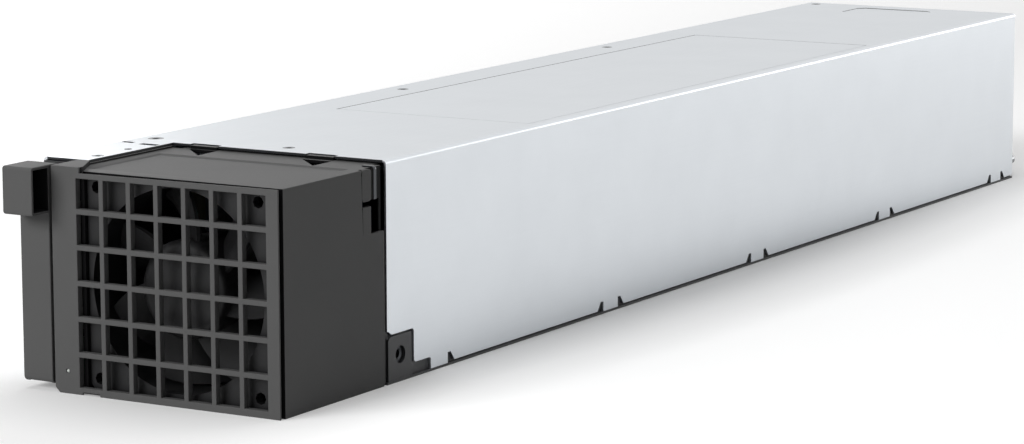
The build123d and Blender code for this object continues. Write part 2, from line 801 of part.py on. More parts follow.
with BuildPart() as fan_screws:
    for way_x in (-1, 1):
        for way_z in (-1, 1):
            x = fan_x + way_x * hole_half
            z = fan_z + way_z * hole_half
            flat_barrel(x, z, fan_back - fan_flange, web_back + 0.1, screw_shank + 0.5, 6)
            flat_barrel(x, z, web_back, web_back + 2.0, 3.2, 6)
save(fan_screws, "fan_screws")

# Screws that hold the shroud to the front flange of the tray
with BuildPart() as housing_screws:
    for x, z in boss_places:
        flat_barrel(x, z, cover_front - 8, cover_front + sheet + 0.1, screw_shank, 8)
        flat_barrel(x, z, cover_front + sheet, cover_front + sheet + 2, 2.8, 8)
save(housing_screws, "housing_screws")

# Ejector lever: a moulded channel with a round knuckle below and a grip block on top
lever_right = lever_left + lever_width
channel_left = lever_left + lever_wall
channel_width = lever_width - 2 * lever_wall
knuckle_back = hinge_depth + lever_knuckle
inner_knuckle = lever_knuckle - lever_wall
wrap_end = radians(225)
grip_low = body_height - grip_height
grip_wall = 1.2
toe_radius = 2.2
rib_height = body_height - 18.0
rib_back = 13.4

with BuildPart() as ejector_lever:
    with BuildSketch(side_plane(lever_left)):
        with BuildLine():
            ThreePointArc(
                (knuckle_back, hinge_height),
                (hinge_depth, hinge_height - lever_knuckle),
                (hinge_depth - lever_knuckle, hinge_height),
            )
            Polyline(
                (hinge_depth - lever_knuckle, hinge_height),
                (0, body_height),
                (lever_top_depth, body_height),
                (rib_back, rib_height - 2),
                (knuckle_back, hinge_height),
            )
        make_face()
        # Squared toe in front of the knuckle
        span(hinge_depth - lever_knuckle, hinge_depth, hinge_height - lever_knuckle, hinge_height)
        fillet(vertices().group_by(Axis.Y)[0].sort_by(Axis.X)[0], toe_radius)
    extrude(amount=lever_width)
    with BuildSketch(side_plane(lever_left)):
        span(-grip_reach, 1, grip_low, body_height)
        fillet(vertices().group_by(Axis.X)[0], 1.2)
    extrude(amount=lever_width)
    # The grip is hollow from its right side, with an even wall
    with BuildSketch(side_plane(lever_right)):
        span(grip_wall - grip_reach, -0.2, grip_low + grip_wall, body_height - grip_wall)
    extrude(amount=grip_wall - lever_width, mode=Mode.SUBTRACT)
    # Hollow back of the channel, which leaves the front wall, the top and a wrap under the knuckle
    with BuildSketch(side_plane(channel_left)):
        with BuildLine():
            Line(
                (lever_wall, body_height - lever_wall), (hinge_depth - inner_knuckle, hinge_height)
            )
            CenterArc((hinge_depth, hinge_height), inner_knuckle, 180, 45)
            Polyline(
                (
                    hinge_depth + inner_knuckle * cos(wrap_end),
                    hinge_height + inner_knuckle * sin(wrap_end),
                ),
                (
                    hinge_depth + (lever_knuckle + 1) * cos(wrap_end),
                    hinge_height + (lever_knuckle + 1) * sin(wrap_end),
                ),
                (hinge_depth - lever_knuckle, 0),
                (knuckle_back + 1, 0),
                (knuckle_back + 1, body_height - lever_wall),
                (lever_wall, body_height - lever_wall),
            )
        make_face()
    extrude(amount=channel_width, mode=Mode.SUBTRACT)
    for height in (rib_height, rib_height / 2):
        block(
            channel_left - 0.2,
            channel_left + channel_width + 0.2,
            lever_wall - 0.2,
            rib_back,
            height,
            height + lever_wall,
        )
    with BuildSketch(side_plane(lever_left - 1)):
        with Locations((hinge_depth, hinge_height)):
            Circle(hinge_radius + running_fit)
    extrude(amount=lever_width + 2, mode=Mode.SUBTRACT)
save(ejector_lever, "ejector_lever")

with BuildPart() as hinge_pin:
    with BuildSketch(side_plane(lever_left)):
        with Locations((hinge_depth, hinge_height)):
            Circle(hinge_radius)
    extrude(amount=lever_width)
save(hinge_pin, "hinge_pin")

# Lever bracket: folded steel, with two ears on the hinge pin and a foot on the tray
ear_sheet = 1.5
ear_radius = inner_knuckle - 0.8
bracket_back = bracket_depth + bracket_sheet
foot_end = 40.0
rivet_places = [(lever_left + x, depth) for x in (3.8, 10.4) for depth in (26.0, 35.0)]

with BuildPart() as lever_bracket:
    with BuildSketch(cross_plane(bracket_depth)):
        span(-flange_face, channel_right - 0.1, sheet, cover_under - 0.2)
    extrude(amount=-bracket_sheet)
    for ear_left in (channel_left + bracket_gap, lever_right - lever_wall - bracket_gap - ear_sheet):
        with BuildSketch(side_plane(ear_left)):
            with Locations((hinge_depth, hinge_height)):
                RegularPolygon(ear_radius, 12)
            span(hinge_depth, bracket_depth + 0.5, hinge_height - 3.4, hinge_height + 4.2)
            with Locations((hinge_depth, hinge_height)):
                RegularPolygon(hinge_radius + 0.02, 12, major_radius=False, mode=Mode.SUBTRACT)
        extrude(amount=ear_sheet)
    with BuildSketch(level_plane(sheet)):
        span(sheet - flange_face + slip, channel_right - 0.1, bracket_depth + 0.5, foot_end)
        with Locations(*rivet_places):
            RegularPolygon(1.6 + screw_fit, 6, mode=Mode.SUBTRACT)
    extrude(amount=bracket_sheet)
save(lever_bracket, "lever_bracket")

with BuildPart() as bracket_rivets:
    for x, depth in rivet_places:
        flat_post(x, depth, sheet, sheet + bracket_sheet + 0.1, 1.6, 6)
        flat_post(x, depth, sheet + bracket_sheet, sheet + bracket_sheet + 1.0, 2.8, 6)
save(bracket_rivets, "bracket_rivets")

# Catch spring: a bowed leaf on the bracket that steadies the closed lever
crown_gap = 0.3
leaf = 0.4
crown = rib_back + crown_gap
bow_low = rib_height - 11.0
bow_high = rib_height + 13.0
with BuildPart() as catch_spring:
    with BuildSketch(side_plane(lever_left + 4.3)):
        with BuildLine():
            ThreePointArc((bracket_depth, bow_low), (crown, rib_height + 1), (bracket_depth, bow_high))
            Line((bracket_depth, bow_high), (bracket_depth, bow_high - 1))
            ThreePointArc(
                (bracket_depth, bow_high - 1), (crown + leaf, rib_height + 1), (bracket_depth, bow_low + 1)
            )
            Line((bracket_depth, bow_low + 1), (bracket_depth, bow_low))
        make_face()
        span(bracket_depth - leaf, bracket_depth, bow_low - 6, bow_low + 0.5)
    extrude(amount=5.0)
save(catch_spring, "catch_spring")

# Air baffle: folded plastic sheet behind the bulkhead that closes off the dead left corner
baffle_sheet = 0.8
with BuildPart() as air_baffle:
    with BuildSketch(level_plane(5)):
        span(6.5 - half_width, bulkhead_right + 1.4, bulkhead_depth + sheet, bulkhead_depth + sheet + baffle_sheet)
        span(
            bulkhead_right + 1.4 - baffle_sheet,
            bulkhead_right + 1.4,
            bulkhead_depth + sheet,
            board_front - 2,
        )
    extrude(amount=68)
save(air_baffle, "air_baffle")

# Main board on its insulating sheet and standoffs
standoff_x = board_half - 4.5
standoff_depths = [(108.0, 108.0), (232.0, 270.0), (406.0, 376.0), (505.0, 530.0), (640.0, 640.0)]
standoff_places = []
for left_depth, right_depth in standoff_depths:
    standoff_places += [(-standoff_x, along(left_depth)), (standoff_x, along(right_depth))]
standoff_radius = 2.6

with BuildPart() as insulator_sheet:
    with BuildSketch(level_plane(sheet)):
        span(-board_half, board_half, board_front - 2, connector_front - 4)
        with Locations(*standoff_places[:-2]):
            RegularPolygon(standoff_radius + 0.4, 6, mode=Mode.SUBTRACT)
    extrude(amount=insulator)
save(insulator_sheet, "insulator_sheet")

with BuildPart() as board_standoffs:
    with BuildSketch(level_plane(sheet)):
        with Locations(*standoff_places):
            RegularPolygon(standoff_radius, 6)
            RegularPolygon(1.25 + screw_fit, 6, mode=Mode.SUBTRACT)
    extrude(amount=board_under - sheet)
save(board_standoffs, "board_standoffs")

with BuildPart() as main_board:
    with BuildSketch(level_plane(board_under)):
        span(-board_half, board_half, board_front, board_rear)
        span(
            -connector_half - 0.3,
            connector_half + 0.3,
            connector_front - 0.3,
            board_rear + 1,
            mode=Mode.SUBTRACT,
        )
        with Locations(*standoff_places):
            RegularPolygon(1.6, 6, mode=Mode.SUBTRACT)
    extrude(amount=board_thick)
save(main_board, "main_board")

with BuildPart() as board_screws:
    for x, depth in standoff_places:
        flat_post(x, depth, board_under - 4.5, board_top + 0.1, 1.25, 6)
        flat_post(x, depth, board_top, board_top + 1.8, 2.7, 6)
save(board_screws, "board_screws")

# Input side, along the left lane from the rear to the front
with BuildPart() as input_fuse:
    near = along(618.0)
    block(-50.0, -20.0, near, near + 8.0, board_top, board_top + 3.0)
    with BuildSketch(side_plane(-50.0)):
        with Locations((near + 4.0, board_top + 5.8)):
            RegularPolygon(3.2, 12)
    extrude(amount=30.0)
save(input_fuse, "input_fuse")

with BuildPart() as film_capacitors:
    for near in (along(590.0), along(604.0)):
        block(-50.0, -18.0, near, near + 11.0, board_top, board_top + 24.0)
save(film_capacitors, "film_capacitors")

choke_radius = 17.0
choke_core = 6.0
choke_centre = board_top + (choke_radius + choke_core) * cos(radians(18))
with BuildPart() as filter_chokes:
    for middle in (along(548.0), along(572.0)):
        wound_ring((-33.0, front_y + middle, choke_centre), True, choke_radius, choke_core)
save(filter_chokes, "filter_chokes")

with BuildPart() as inrush_relay:
    block(-50.0, -36.0, along(510.0), along(510.0) + 22.0, board_top, board_top + 18.0)
save(inrush_relay, "inrush_relay")

fin_thick = 1.4
fin_pitch = 11.0


def heatsink(x_wall, x_fins, near, far, top):
    """Extruded heatsink: an upright base with fins across the air stream."""
    with BuildSketch(level_plane(board_top)) as comb:
        low, high = sorted((x_wall, x_fins))
        base = 3.0 if x_fins > x_wall else -3.0
        span(*sorted((x_wall, x_wall + base)), near, far)
        count = int((far - near) // fin_pitch) + 1
        for i in range(count):
            start = min(near + i * fin_pitch, far - fin_thick)
            span(low, high, start, start + fin_thick)
    extrude(comb.sketch, amount=top - board_top)


def sink_boss(x, depth):
    """Block with a screw hole at the top of a heatsink, under the screw of the cover."""
    block(x - 4.0, sink_face + 0.5, depth - 4.5, depth + 4.5, cover_under - 10, cover_under)
    flat_post(x, depth, cover_under - 8, cover_under + 1, screw_shank + screw_fit, 8, Mode.SUBTRACT)


sink_face = 8.0 - board_half
with BuildPart() as primary_heatsink:
    heatsink(sink_face, -board_half, along(242.0), along(390.0), cover_under)
    sink_boss(*heatsink_screw)
save(primary_heatsink, "primary_heatsink")

with BuildPart() as rectifier_heatsink:
    heatsink(sink_face, -board_half, along(422.0), along(500.0), cover_under)
    sink_boss(*rectifier_screw)
save(rectifier_heatsink, "rectifier_heatsink")

with BuildPart() as bridge_rectifier:
    near = along(450.0)
    block(sink_face, sink_face + 4.5, near, near + 32.0, board_top + 5, board_top + 28)
    for lead in (near + 3.0, near + 11.5, near + 20.5, near + 29.0):
        block(sink_face + 1.6, sink_face + 2.8, lead - 0.6, lead + 0.6, board_top, board_top + 5)
save(bridge_rectifier, "bridge_rectifier")

with BuildPart() as boost_choke:
    wound_ring((-20.3, front_y + along(455.0), board_top + 8.0), False, 13.0, 8.0)
save(boost_choke, "boost_choke")

transistor_pitch = 24.0
with BuildPart() as primary_transistors:
    for i in range(5):
        near = along(268.0 + i * transistor_pitch)
        block(sink_face, sink_face + 5.0, near, near + 16.0, board_top + 6, board_top + 26)
        for lead in (near + 4.0, near + 12.0):
            block(sink_face + 2.0, sink_face + 2.8, lead - 0.5, lead + 0.5, board_top, board_top + 6)
save(primary_transistors, "primary_transistors")

with BuildPart() as bulk_capacitors:
    for depth in (132.0, 172.0, 212.0):
        flat_post(-22.0, along(depth), board_top, board_top + 55.0, 17.5, 16)
save(bulk_capacitors, "bulk_capacitors")

with BuildPart() as standby_transformer:
    near = along(246.0)
    block(-30.0, -6.0, near, near + 22.0, board_top, board_top + 20.0)
    block(-27.0, -9.0, near - 3.0, near + 25.0, board_top + 4.0, board_top + 16.0)
save(standby_transformer, "standby_transformer")

# Output side, along the right lane from the front to the rear
core_places = (along(236.0), along(288.0))
core_length = 42.0
core_left = 8.0
core_right = 44.0
core_height = 44.0
core_leg = 7.0

with BuildPart() as transformer_cores:
    for near in core_places:
        with BuildSketch(cross_plane(near + core_length / 2 + 8)):
            span(core_left, core_right, board_top + 2, board_top + core_height)
            span(
                core_left + core_leg,
                core_right - core_leg,
                board_top + 2 + core_leg,
                board_top + core_height - core_leg,
                mode=Mode.SUBTRACT,
            )
        extrude(amount=16)
save(transformer_cores, "transformer_cores")

coil_left = core_left + core_leg + 0.2
coil_right = core_right - core_leg - 0.2
coil_low = board_top + 2 + core_leg + 0.2
coil_high = board_top + core_height - core_leg - 0.2

with BuildPart() as transformer_windings:
    for near in core_places:
        block(coil_left, coil_right, near, near + core_length, coil_low, coil_high)
        for foot in (near, near + core_length - 10):
            block(coil_left + 3, coil_right - 3, foot, foot + 10, board_top, coil_low + 1)
save(transformer_windings, "transformer_windings")

with BuildPart() as resonant_choke:
    near = along(176.0)
    block(12.0, 40.0, near, near + 28.0, board_top, board_top + 26.0)
    flat_post(26.0, near + 14.0, board_top + 26.0, board_top + 28.0, 9.0, 12)
save(resonant_choke, "resonant_choke")

with BuildPart() as output_heatsink:
    heatsink(42.0, board_half - 2, along(384.0), along(512.0), body_height - 13.0)
save(output_heatsink, "output_heatsink")

with BuildPart() as output_transistors:
    for i in range(5):
        near = along(390.0 + i * transistor_pitch)
        block(37.0, 42.0, near, near + 16.0, board_top + 6, board_top + 26)
        for lead in (near + 4.0, near + 12.0):
            block(39.2, 40.0, lead - 0.5, lead + 0.5, board_top, board_top + 6)
save(output_transistors, "output_transistors")

with BuildPart() as output_chokes:
    for middle in (core_places[1] + core_length + 20.0, along(536.0)):
        wound_ring((26.0, front_y + middle, board_top + 7.0), False, 11.0, 7.0)
save(output_chokes, "output_chokes")

with BuildPart() as output_capacitors:
    for depth in (392.0, 412.0, 432.0, 452.0, 472.0, 492.0):
        for x in (11.0, 28.0):
            flat_post(x, along(depth), board_top, board_top + 30.0, 8.0, 10)
save(output_capacitors, "output_capacitors")

bar_places = ((6.0, 9.0), (26.0, 29.0))
with BuildPart() as bus_bars:
    for low, high in bar_places:
        with BuildSketch(side_plane(low)):
            with BuildLine():
                Polyline(
                    (connector_front - 80.0, board_top),
                    (connector_front - 80.0, board_top + 18.0),
                    (connector_front - 10.0, board_top + 18.0),
                    (connector_front - 4.0, board_top + 9.0),
                    (connector_front, board_top + 9.0),
                    (connector_front, board_top),
                    close=True,
                )
            make_face()
        extrude(amount=high - low)
save(bus_bars, "bus_bars")

# Control board: an upright card between the two lanes
card_left = 0.5
card_right = 2.1
with BuildPart() as control_board:
    with BuildSketch(side_plane(card_left)):
        with BuildLine():
            Polyline(
                (along(300.0), board_top),
                (along(300.0), 58.0),
                (along(372.0), 58.0),
                (along(380.0), 50.0),
                (along(420.0), 50.0),
                (along(420.0), board_top),
                close=True,
            )
        make_face()
    extrude(amount=card_right - card_left)
save(control_board, "control_board")

with BuildPart() as control_chips:
    for near, low, size in ((318.0, 34.0, 14.0), (350.0, 30.0, 10.0), (390.0, 24.0, 10.0)):
        start = along(near)
        block(card_left - 1.4, card_left, start, start + size, low, low + size)
save(control_chips, "control_chips")

# Fan lead: from the motor base, back through the shroud and down to its plug on the board
lead_radius = 1.6
lead_path = [
    (-24.0, fan_back, fan_z),
    (-24.0, housing_depth - 7.4, fan_z),
    (-26.0, board_front - 10.0, 13.6),
    (-26.0, board_front + 4.0, 13.6),
]
lead_points = [(x, front_y + depth, z) for x, depth, z in lead_path]

with BuildPart() as fan_lead:
    with BuildLine() as lead_line:
        FilletPolyline(*lead_points, radius=[20.0, 15.0])
    with BuildSketch(Plane(origin=lead_points[0], x_dir=(1, 0, 0), z_dir=(0, 1, 0))):
        RegularPolygon(lead_radius, 6)
    sweep(path=lead_line.line)
save(fan_lead, "fan_lead")

with BuildPart() as fan_plug:
    block(-31.0, -21.0, board_front + 4.0, board_front + 11.0, board_top, board_top + 8.0)
save(fan_plug, "fan_plug")

# Rear connector: a moulded block with blade pockets on the left and right and a pin field between
pocket_pitch = 8.0
input_pockets = [-28.0 + i * pocket_pitch for i in range(3)]
output_pockets = [12.0 + i * pocket_pitch for i in range(3)]
pocket_front = connector_front + 10.0
pin_rows = 4
pin_columns = 5
pin_pitch = 2.6
pin_field = (-1.0, 12.75)
connector_back = body_length + connector_reach

with BuildPart() as rear_connector:
    block(
        -connector_half, connector_half, connector_front, connector_back, connector_low, connector_high
    )
    outer_edges = edges().filter_by(Axis.Y)
    chamfer(outer_edges, 1.0)
    for x in input_pockets + output_pockets:
        block(
            x - 2.4,
            x + 2.4,
            pocket_front,
            connector_back + 1,
            connector_low + 2.5,
            connector_high - 2.5,
            mode=Mode.SUBTRACT,
        )
    block(
        pin_field[0] - 7.6,
        pin_field[0] + 7.6,
        pocket_front + 4,
        connector_back + 1,
        connector_low + 2.5,
        connector_high - 2.5,
        mode=Mode.SUBTRACT,
    )
save(rear_connector, "rear_connector")

with BuildPart() as power_blades:
    for x in input_pockets + output_pockets:
        block(x - 0.6, x + 0.6, pocket_front, connector_back - 2, connector_low + 4, connector_high - 4)
save(power_blades, "power_blades")

with BuildPart() as signal_pins:
    with BuildSketch(cross_plane(pocket_front + 4)):
        with Locations(pin_field):
            with GridLocations(pin_pitch, pin_pitch, pin_columns, pin_rows):
                Rectangle(0.7, 0.7)
    extrude(amount=pocket_front + 4 - connector_back + 3)
save(signal_pins, "signal_pins")
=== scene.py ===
import json
import math

import bmesh
import bpy
from mathutils import Matrix, Vector


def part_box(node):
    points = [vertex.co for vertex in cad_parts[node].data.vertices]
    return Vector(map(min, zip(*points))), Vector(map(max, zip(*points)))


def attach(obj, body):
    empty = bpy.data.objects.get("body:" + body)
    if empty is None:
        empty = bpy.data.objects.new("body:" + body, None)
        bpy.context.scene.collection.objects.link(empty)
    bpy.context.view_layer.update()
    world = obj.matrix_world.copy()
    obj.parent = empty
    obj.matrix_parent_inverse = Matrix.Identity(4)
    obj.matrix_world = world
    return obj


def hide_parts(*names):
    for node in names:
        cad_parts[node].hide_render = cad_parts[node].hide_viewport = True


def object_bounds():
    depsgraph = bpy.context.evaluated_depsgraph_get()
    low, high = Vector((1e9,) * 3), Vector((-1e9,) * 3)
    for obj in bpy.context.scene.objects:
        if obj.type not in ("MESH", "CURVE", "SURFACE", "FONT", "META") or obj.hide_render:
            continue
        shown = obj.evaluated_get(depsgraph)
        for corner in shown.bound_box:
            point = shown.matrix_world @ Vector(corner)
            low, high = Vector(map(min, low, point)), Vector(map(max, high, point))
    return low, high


# Looks of a hot-swap server power supply. Its lengths are in millimetres, turned to metres by
# MM. The lamps and the paper floor are placed in metres.
MM = 0.001

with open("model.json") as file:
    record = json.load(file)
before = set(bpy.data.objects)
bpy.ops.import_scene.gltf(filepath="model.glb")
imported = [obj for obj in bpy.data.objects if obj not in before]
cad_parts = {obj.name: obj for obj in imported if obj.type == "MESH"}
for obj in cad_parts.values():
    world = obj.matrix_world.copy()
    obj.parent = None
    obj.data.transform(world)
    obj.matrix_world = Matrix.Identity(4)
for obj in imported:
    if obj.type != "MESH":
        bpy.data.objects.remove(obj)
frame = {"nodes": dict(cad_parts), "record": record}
nodes = frame["nodes"]
record = frame["record"]
cad_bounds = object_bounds()

body_of = {node: body for body, held in record["behaviour"]["bodies"].items() for node in held}
slot_of = {entry["node"]: entry["material_slot"] for entry in record["subparts"]}

# The photograph's camera, from the straight edges of the casing
CAMERA_PLACE = Vector((767.0, -1377.6, 276.6)) * MM
CAMERA_AZIMUTH = math.radians(30.478)
CAMERA_ELEVATION = math.radians(9.259)
CAMERA_ROLL = math.radians(-0.137)
CAMERA_LENS = 126.54
SENSOR_WIDTH = 36.0
CAMERA_CLIP = (0.05, 60.0)


def make_camera():
    """Camera that looks along the fitted azimuth and elevation."""
    back = Vector((
        math.sin(CAMERA_AZIMUTH) * math.cos(CAMERA_ELEVATION),
        -math.cos(CAMERA_AZIMUTH) * math.cos(CAMERA_ELEVATION),
        math.sin(CAMERA_ELEVATION),
    ))
    right = (-back).cross(Vector((0, 0, 1))).normalized()
    up = right.cross(-back)
    turn = Matrix.Rotation(CAMERA_ROLL, 3, back)
    right = turn @ right
    up = turn @ up
    data = bpy.data.cameras.new("camera")
    data.lens = CAMERA_LENS
    data.sensor_width = SENSOR_WIDTH
    data.clip_start, data.clip_end = CAMERA_CLIP
    camera = bpy.data.objects.new("camera", data)
    bpy.context.scene.collection.objects.link(camera)
    pose = Matrix((right, up, back)).transposed().to_4x4()
    camera.matrix_world = Matrix.Translation(CAMERA_PLACE) @ pose
    bpy.context.scene.camera = camera


make_camera()


def linear(code):
    """Linear colour of an sRGB hex value."""
    values = []
    for i in (0, 2, 4):
        part = int(code[i:i + 2], 16) / 255
        values.append(part / 12.92 if part <= 0.04045 else ((part + 0.055) / 1.055) ** 2.4)
    return (*values, 1.0)


def add_node(tree, kind, settings=None, **links):
    """Add a shader node with its settings, and set or link its inputs by name or number."""
    made = tree.nodes.new(kind)
    for name, value in (settings or {}).items():
        setattr(made, name, value)
    for name, value in links.items():
        key = int(name[1:]) if name[0] == "i" and name[1:].isdigit() else name.replace("_", " ")
        socket = made.inputs[key]
        if isinstance(value, bpy.types.NodeSocket):
            tree.links.new(value, socket)
        else:
            socket.default_value = value
    return made


def new_material(name):
    """Empty material with its tree and the coordinates that its textures use."""
    material = bpy.data.materials.new(name)
    material.use_nodes = True
    tree = material.node_tree
    tree.nodes.clear()
    return material, tree, add_node(tree, "ShaderNodeTexCoord").outputs["Object"]


def shade(tree, **inputs):
    """Add the shader with its linked and plain inputs, and its output."""
    shader = add_node(tree, "ShaderNodeBsdfPrincipled", **inputs)
    output = add_node(tree, "ShaderNodeOutputMaterial")
    tree.links.new(shader.outputs["BSDF"], output.inputs["Surface"])


def noise(tree, place, size_mm, detail):
    """Texture value with features of the given size in millimetres."""
    return add_node(
        tree, "ShaderNodeTexNoise", Vector=place, Scale=1 / (size_mm * MM), Detail=detail
    ).outputs["Fac"]


def two_tones(tree, share, first, second):
    """Colour that a texture value mixes from two linear colours."""
    return add_node(
        tree, "ShaderNodeMix", {"data_type": "RGBA"}, i0=share, i6=first, i7=second
    ).outputs[2]


def mapped(tree, value, low, high, start=0.0, end=1.0):
    """Texture value whose range from start to end is turned to low to high."""
    return add_node(
        tree, "ShaderNodeMapRange",
        Value=value, From_Min=start, From_Max=end, To_Min=low, To_Max=high,
    ).outputs["Result"]


def relief(tree, height, strength, depth_mm):
    """Normal of a fine relief, with its depth in millimetres."""
    return add_node(
        tree, "ShaderNodeBump", Strength=strength, Distance=depth_mm * MM, Height=height
    ).outputs["Normal"]


def maths(tree, operation, *values):
    """Result of an operation on linked or plain values."""
    inputs = {f"i{i}": value for i, value in enumerate(values)}
    return add_node(tree, "ShaderNodeMath", {"operation": operation}, **inputs).outputs[0]


# Stage: a white paper floor under soft studio light. Each reach is a distance in metres from the
# object's middle at which a glow starts to rise or is full. The weak glow near the object is a
# painted shadow round its foot.
FLOOR_SIZE = 8.0
FLOOR_COLOUR = "dcdcdc"
GLOW_NEAR = 0.06
GLOW_FAR = 0.46
GLOW_NEAR_REACH = 0.068
GLOW_FAR_REACH = 0.13
GLOW_BACK = 0.5
GLOW_BACK_REACH = (0.3, 1.2)
LONG_SHARE = 0.25
WORLD_FILL = 0.1
HORIZON_LEVEL = 0.36
SKY_LEVEL = 1.05
# Sine of the height at which the reflected horizon ends, and at which the full sky begins
HORIZON_BAND = (0.06, 0.2)


def make_stage():
    """White paper floor. Its glow is only for the camera and for reflections, so the lamps' shadow
    stays; the glow is weaker close round the object, a painted shadow there.
    """
    data = bpy.data.meshes.new("floor")
    shape = bmesh.new()
    bmesh.ops.create_grid(shape, x_segments=1, y_segments=1, size=FLOOR_SIZE)
    shape.to_mesh(data)
    shape.free()
    floor = bpy.data.objects.new("floor", data)
    bpy.context.scene.collection.objects.link(floor)
    material, tree, place = new_material("matt_white_paper")
    path = add_node(tree, "ShaderNodeLightPath").outputs
    seen = maths(tree, "MAXIMUM", path["Is Camera Ray"], path["Is Glossy Ray"])
    shown = maths(tree, "MAXIMUM", seen, path["Is Transmission Ray"])
    # The object is long, so its length counts less in the distance from it
    shrunk = add_node(
        tree, "ShaderNodeVectorMath", {"operation": "MULTIPLY"}, i0=place, i1=(1, LONG_SHARE, 1)
    )
    reach = add_node(
        tree, "ShaderNodeVectorMath", {"operation": "LENGTH"}, i0=shrunk.outputs[0]
    ).outputs["Value"]
    # Painted shadow: the glow rises from weak close round the object to full further out, so the
    # paper near the object reads darker, also in reflections
    painted_shadow_glow = mapped(tree, reach, GLOW_NEAR, GLOW_FAR, GLOW_NEAR_REACH, GLOW_FAR_REACH)
    # The paper far behind is beyond the lamps, so it glows more
    beyond = mapped(tree, reach, 0.0, GLOW_BACK, *GLOW_BACK_REACH)
    glow = maths(tree, "MULTIPLY", shown, maths(tree, "ADD", painted_shadow_glow, beyond))
    shade(
        tree, Base_Color=linear(FLOOR_COLOUR), Roughness=0.95, Specular_IOR_Level=0.0,
        Emission_Color=(1, 1, 1, 1), Emission_Strength=glow,
    )
    data.materials.append(material)


def make_world():
    """White surroundings, dimmer for the light on the object and near the horizon in reflections."""
    world = bpy.data.worlds.new("studio")
    bpy.context.scene.world = world
    world.use_nodes = True
    tree = world.node_tree
    tree.nodes.clear()
    path = add_node(tree, "ShaderNodeLightPath").outputs
    way = add_node(tree, "ShaderNodeTexCoord").outputs["Generated"]
    height = add_node(tree, "ShaderNodeSeparateXYZ", Vector=way).outputs["Z"]
    mirrored = mapped(tree, height, HORIZON_LEVEL, SKY_LEVEL, *HORIZON_BAND)
    clear = maths(tree, "MAXIMUM", path["Is Camera Ray"], path["Is Transmission Ray"])
    glossy = add_node(
        tree, "ShaderNodeMix", {"data_type": "FLOAT"},
        i0=path["Is Glossy Ray"], i2=WORLD_FILL, i3=mirrored,
    )
    strength = add_node(
        tree, "ShaderNodeMix", {"data_type": "FLOAT"}, i0=clear, i2=glossy.outputs[0], i3=1.0
    )
    light = add_node(tree, "ShaderNodeBackground", Color=(1, 1, 1, 1), Strength=strength.outputs[0])
    output = add_node(tree, "ShaderNodeOutputWorld")
    tree.links.new(light.outputs[0], output.inputs["Surface"])


def softbox(name, place, target, width, height, power, mirrored):
    """Rectangular soft lamp that points at a target, for either the matt or the mirrored light."""
    data = bpy.data.lights.new(name, "AREA")
    data.shape = "RECTANGLE"
    data.size = width
    data.size_y = height
    data.energy = power
    lamp = bpy.data.objects.new(name, data)
    lamp.location = place
    lamp.rotation_euler = (Vector(target) - Vector(place)).to_track_quat("-Z", "Y").to_euler()
    lamp.visible_glossy = mirrored
    lamp.visible_diffuse = not mirrored
    bpy.context.scene.collection.objects.link(lamp)


# Name, place, target, width and height in metres, power in watts, and whether it only mirrors
LAMPS = (
    ("front_softbox", (-0.9, -2.3, 1.1), (0, -0.2, 0.05), 1.5, 1.1, 51.0, False),
    ("top_softbox", (0.0, 0.1, 2.0), (0, 0.0, 0.0), 1.3, 1.8, 19.0, False),
    ("rear_right_softbox", (0.85, 2.7, 0.36), (0.05, 0.2, 0.05), 1.2, 0.6, 12.0, True),
    ("rear_left_softbox", (-2.3, 1.7, 0.8), (0, -0.2, 0.08), 1.0, 0.8, 16.0, True),
)

make_stage()
make_world()
for lamp_settings in LAMPS:
    softbox(*lamp_settings)


# Finishes. Rolled and drawn metal has textures stretched along it by these shares.
ROLLED_SHARE = 0.012
DRAWN_SHARE = 0.02
STAIN_SHADE = 0.82
FLOW_SHADE = 0.9
GRAIN_ROUGHNESS = 0.06


def galvanised_sheet():
    """Electro-galvanised steel sheet, left bare: satin and cool grey, with rolling lines along it."""
    material, tree, place = new_material("electro_galvanised_steel_sheet")
    drawn = add_node(tree, "ShaderNodeMapping", Vector=place, Scale=(1, ROLLED_SHARE, 1))
    # Lines from the rolls, 0.8 mm apart, and cloudy patches of the zinc layer, 30 mm across
    lines = noise(tree, drawn.outputs["Vector"], 0.8, 3.0)
    clouds = noise(tree, place, 30, 4.0)
    worn = maths(tree, "MULTIPLY_ADD", clouds, 0.4, lines)
    shade(
        tree, Metallic=1.0,
        Base_Color=two_tones(tree, clouds, linear("dadee2"), linear("d2d6da")),
        Roughness=mapped(tree, worn, 0.3, 0.4, 0.3, 1.1),
        Normal=relief(tree, lines, 0.25, 0.01),
    )
    return material


def coated_sheet():
    """Steel sheet with a baked black coat: a dark satin film with a low orange peel."""
    material, tree, place = new_material("black_coated_steel_sheet")
    # Orange peel of the film, 1.4 mm from crest to crest
    peel = noise(tree, place, 1.4, 1.0)
    dust = noise(tree, place, 22, 5.0)
    shade(
        tree,
        Base_Color=two_tones(tree, dust, linear("1e1f21"), linear("262729")),
        Roughness=mapped(tree, dust, 0.38, 0.52),
        Normal=relief(tree, peel, 0.3, 0.03),
    )
    return material


def plated_steel(name, colour, roughness, metallic=1.0):
    """Turned or stamped steel under a thin plating: small bright highlights, fine tool marks."""
    material, tree, place = new_material(name)
    # Tool marks and pits of the plating, 0.25 mm
    marks = noise(tree, place, 0.25, 2.0)
    stain = noise(tree, place, 4, 3.0)
    darker = tuple(STAIN_SHADE * part for part in linear(colour)[:3]) + (1.0,)
    shade(
        tree, Metallic=metallic,
        Base_Color=two_tones(tree, stain, linear(colour), darker),
        Roughness=mapped(tree, marks, roughness * 0.8, roughness * 1.2),
        Normal=relief(tree, marks, 0.2, 0.01),
    )
    return material


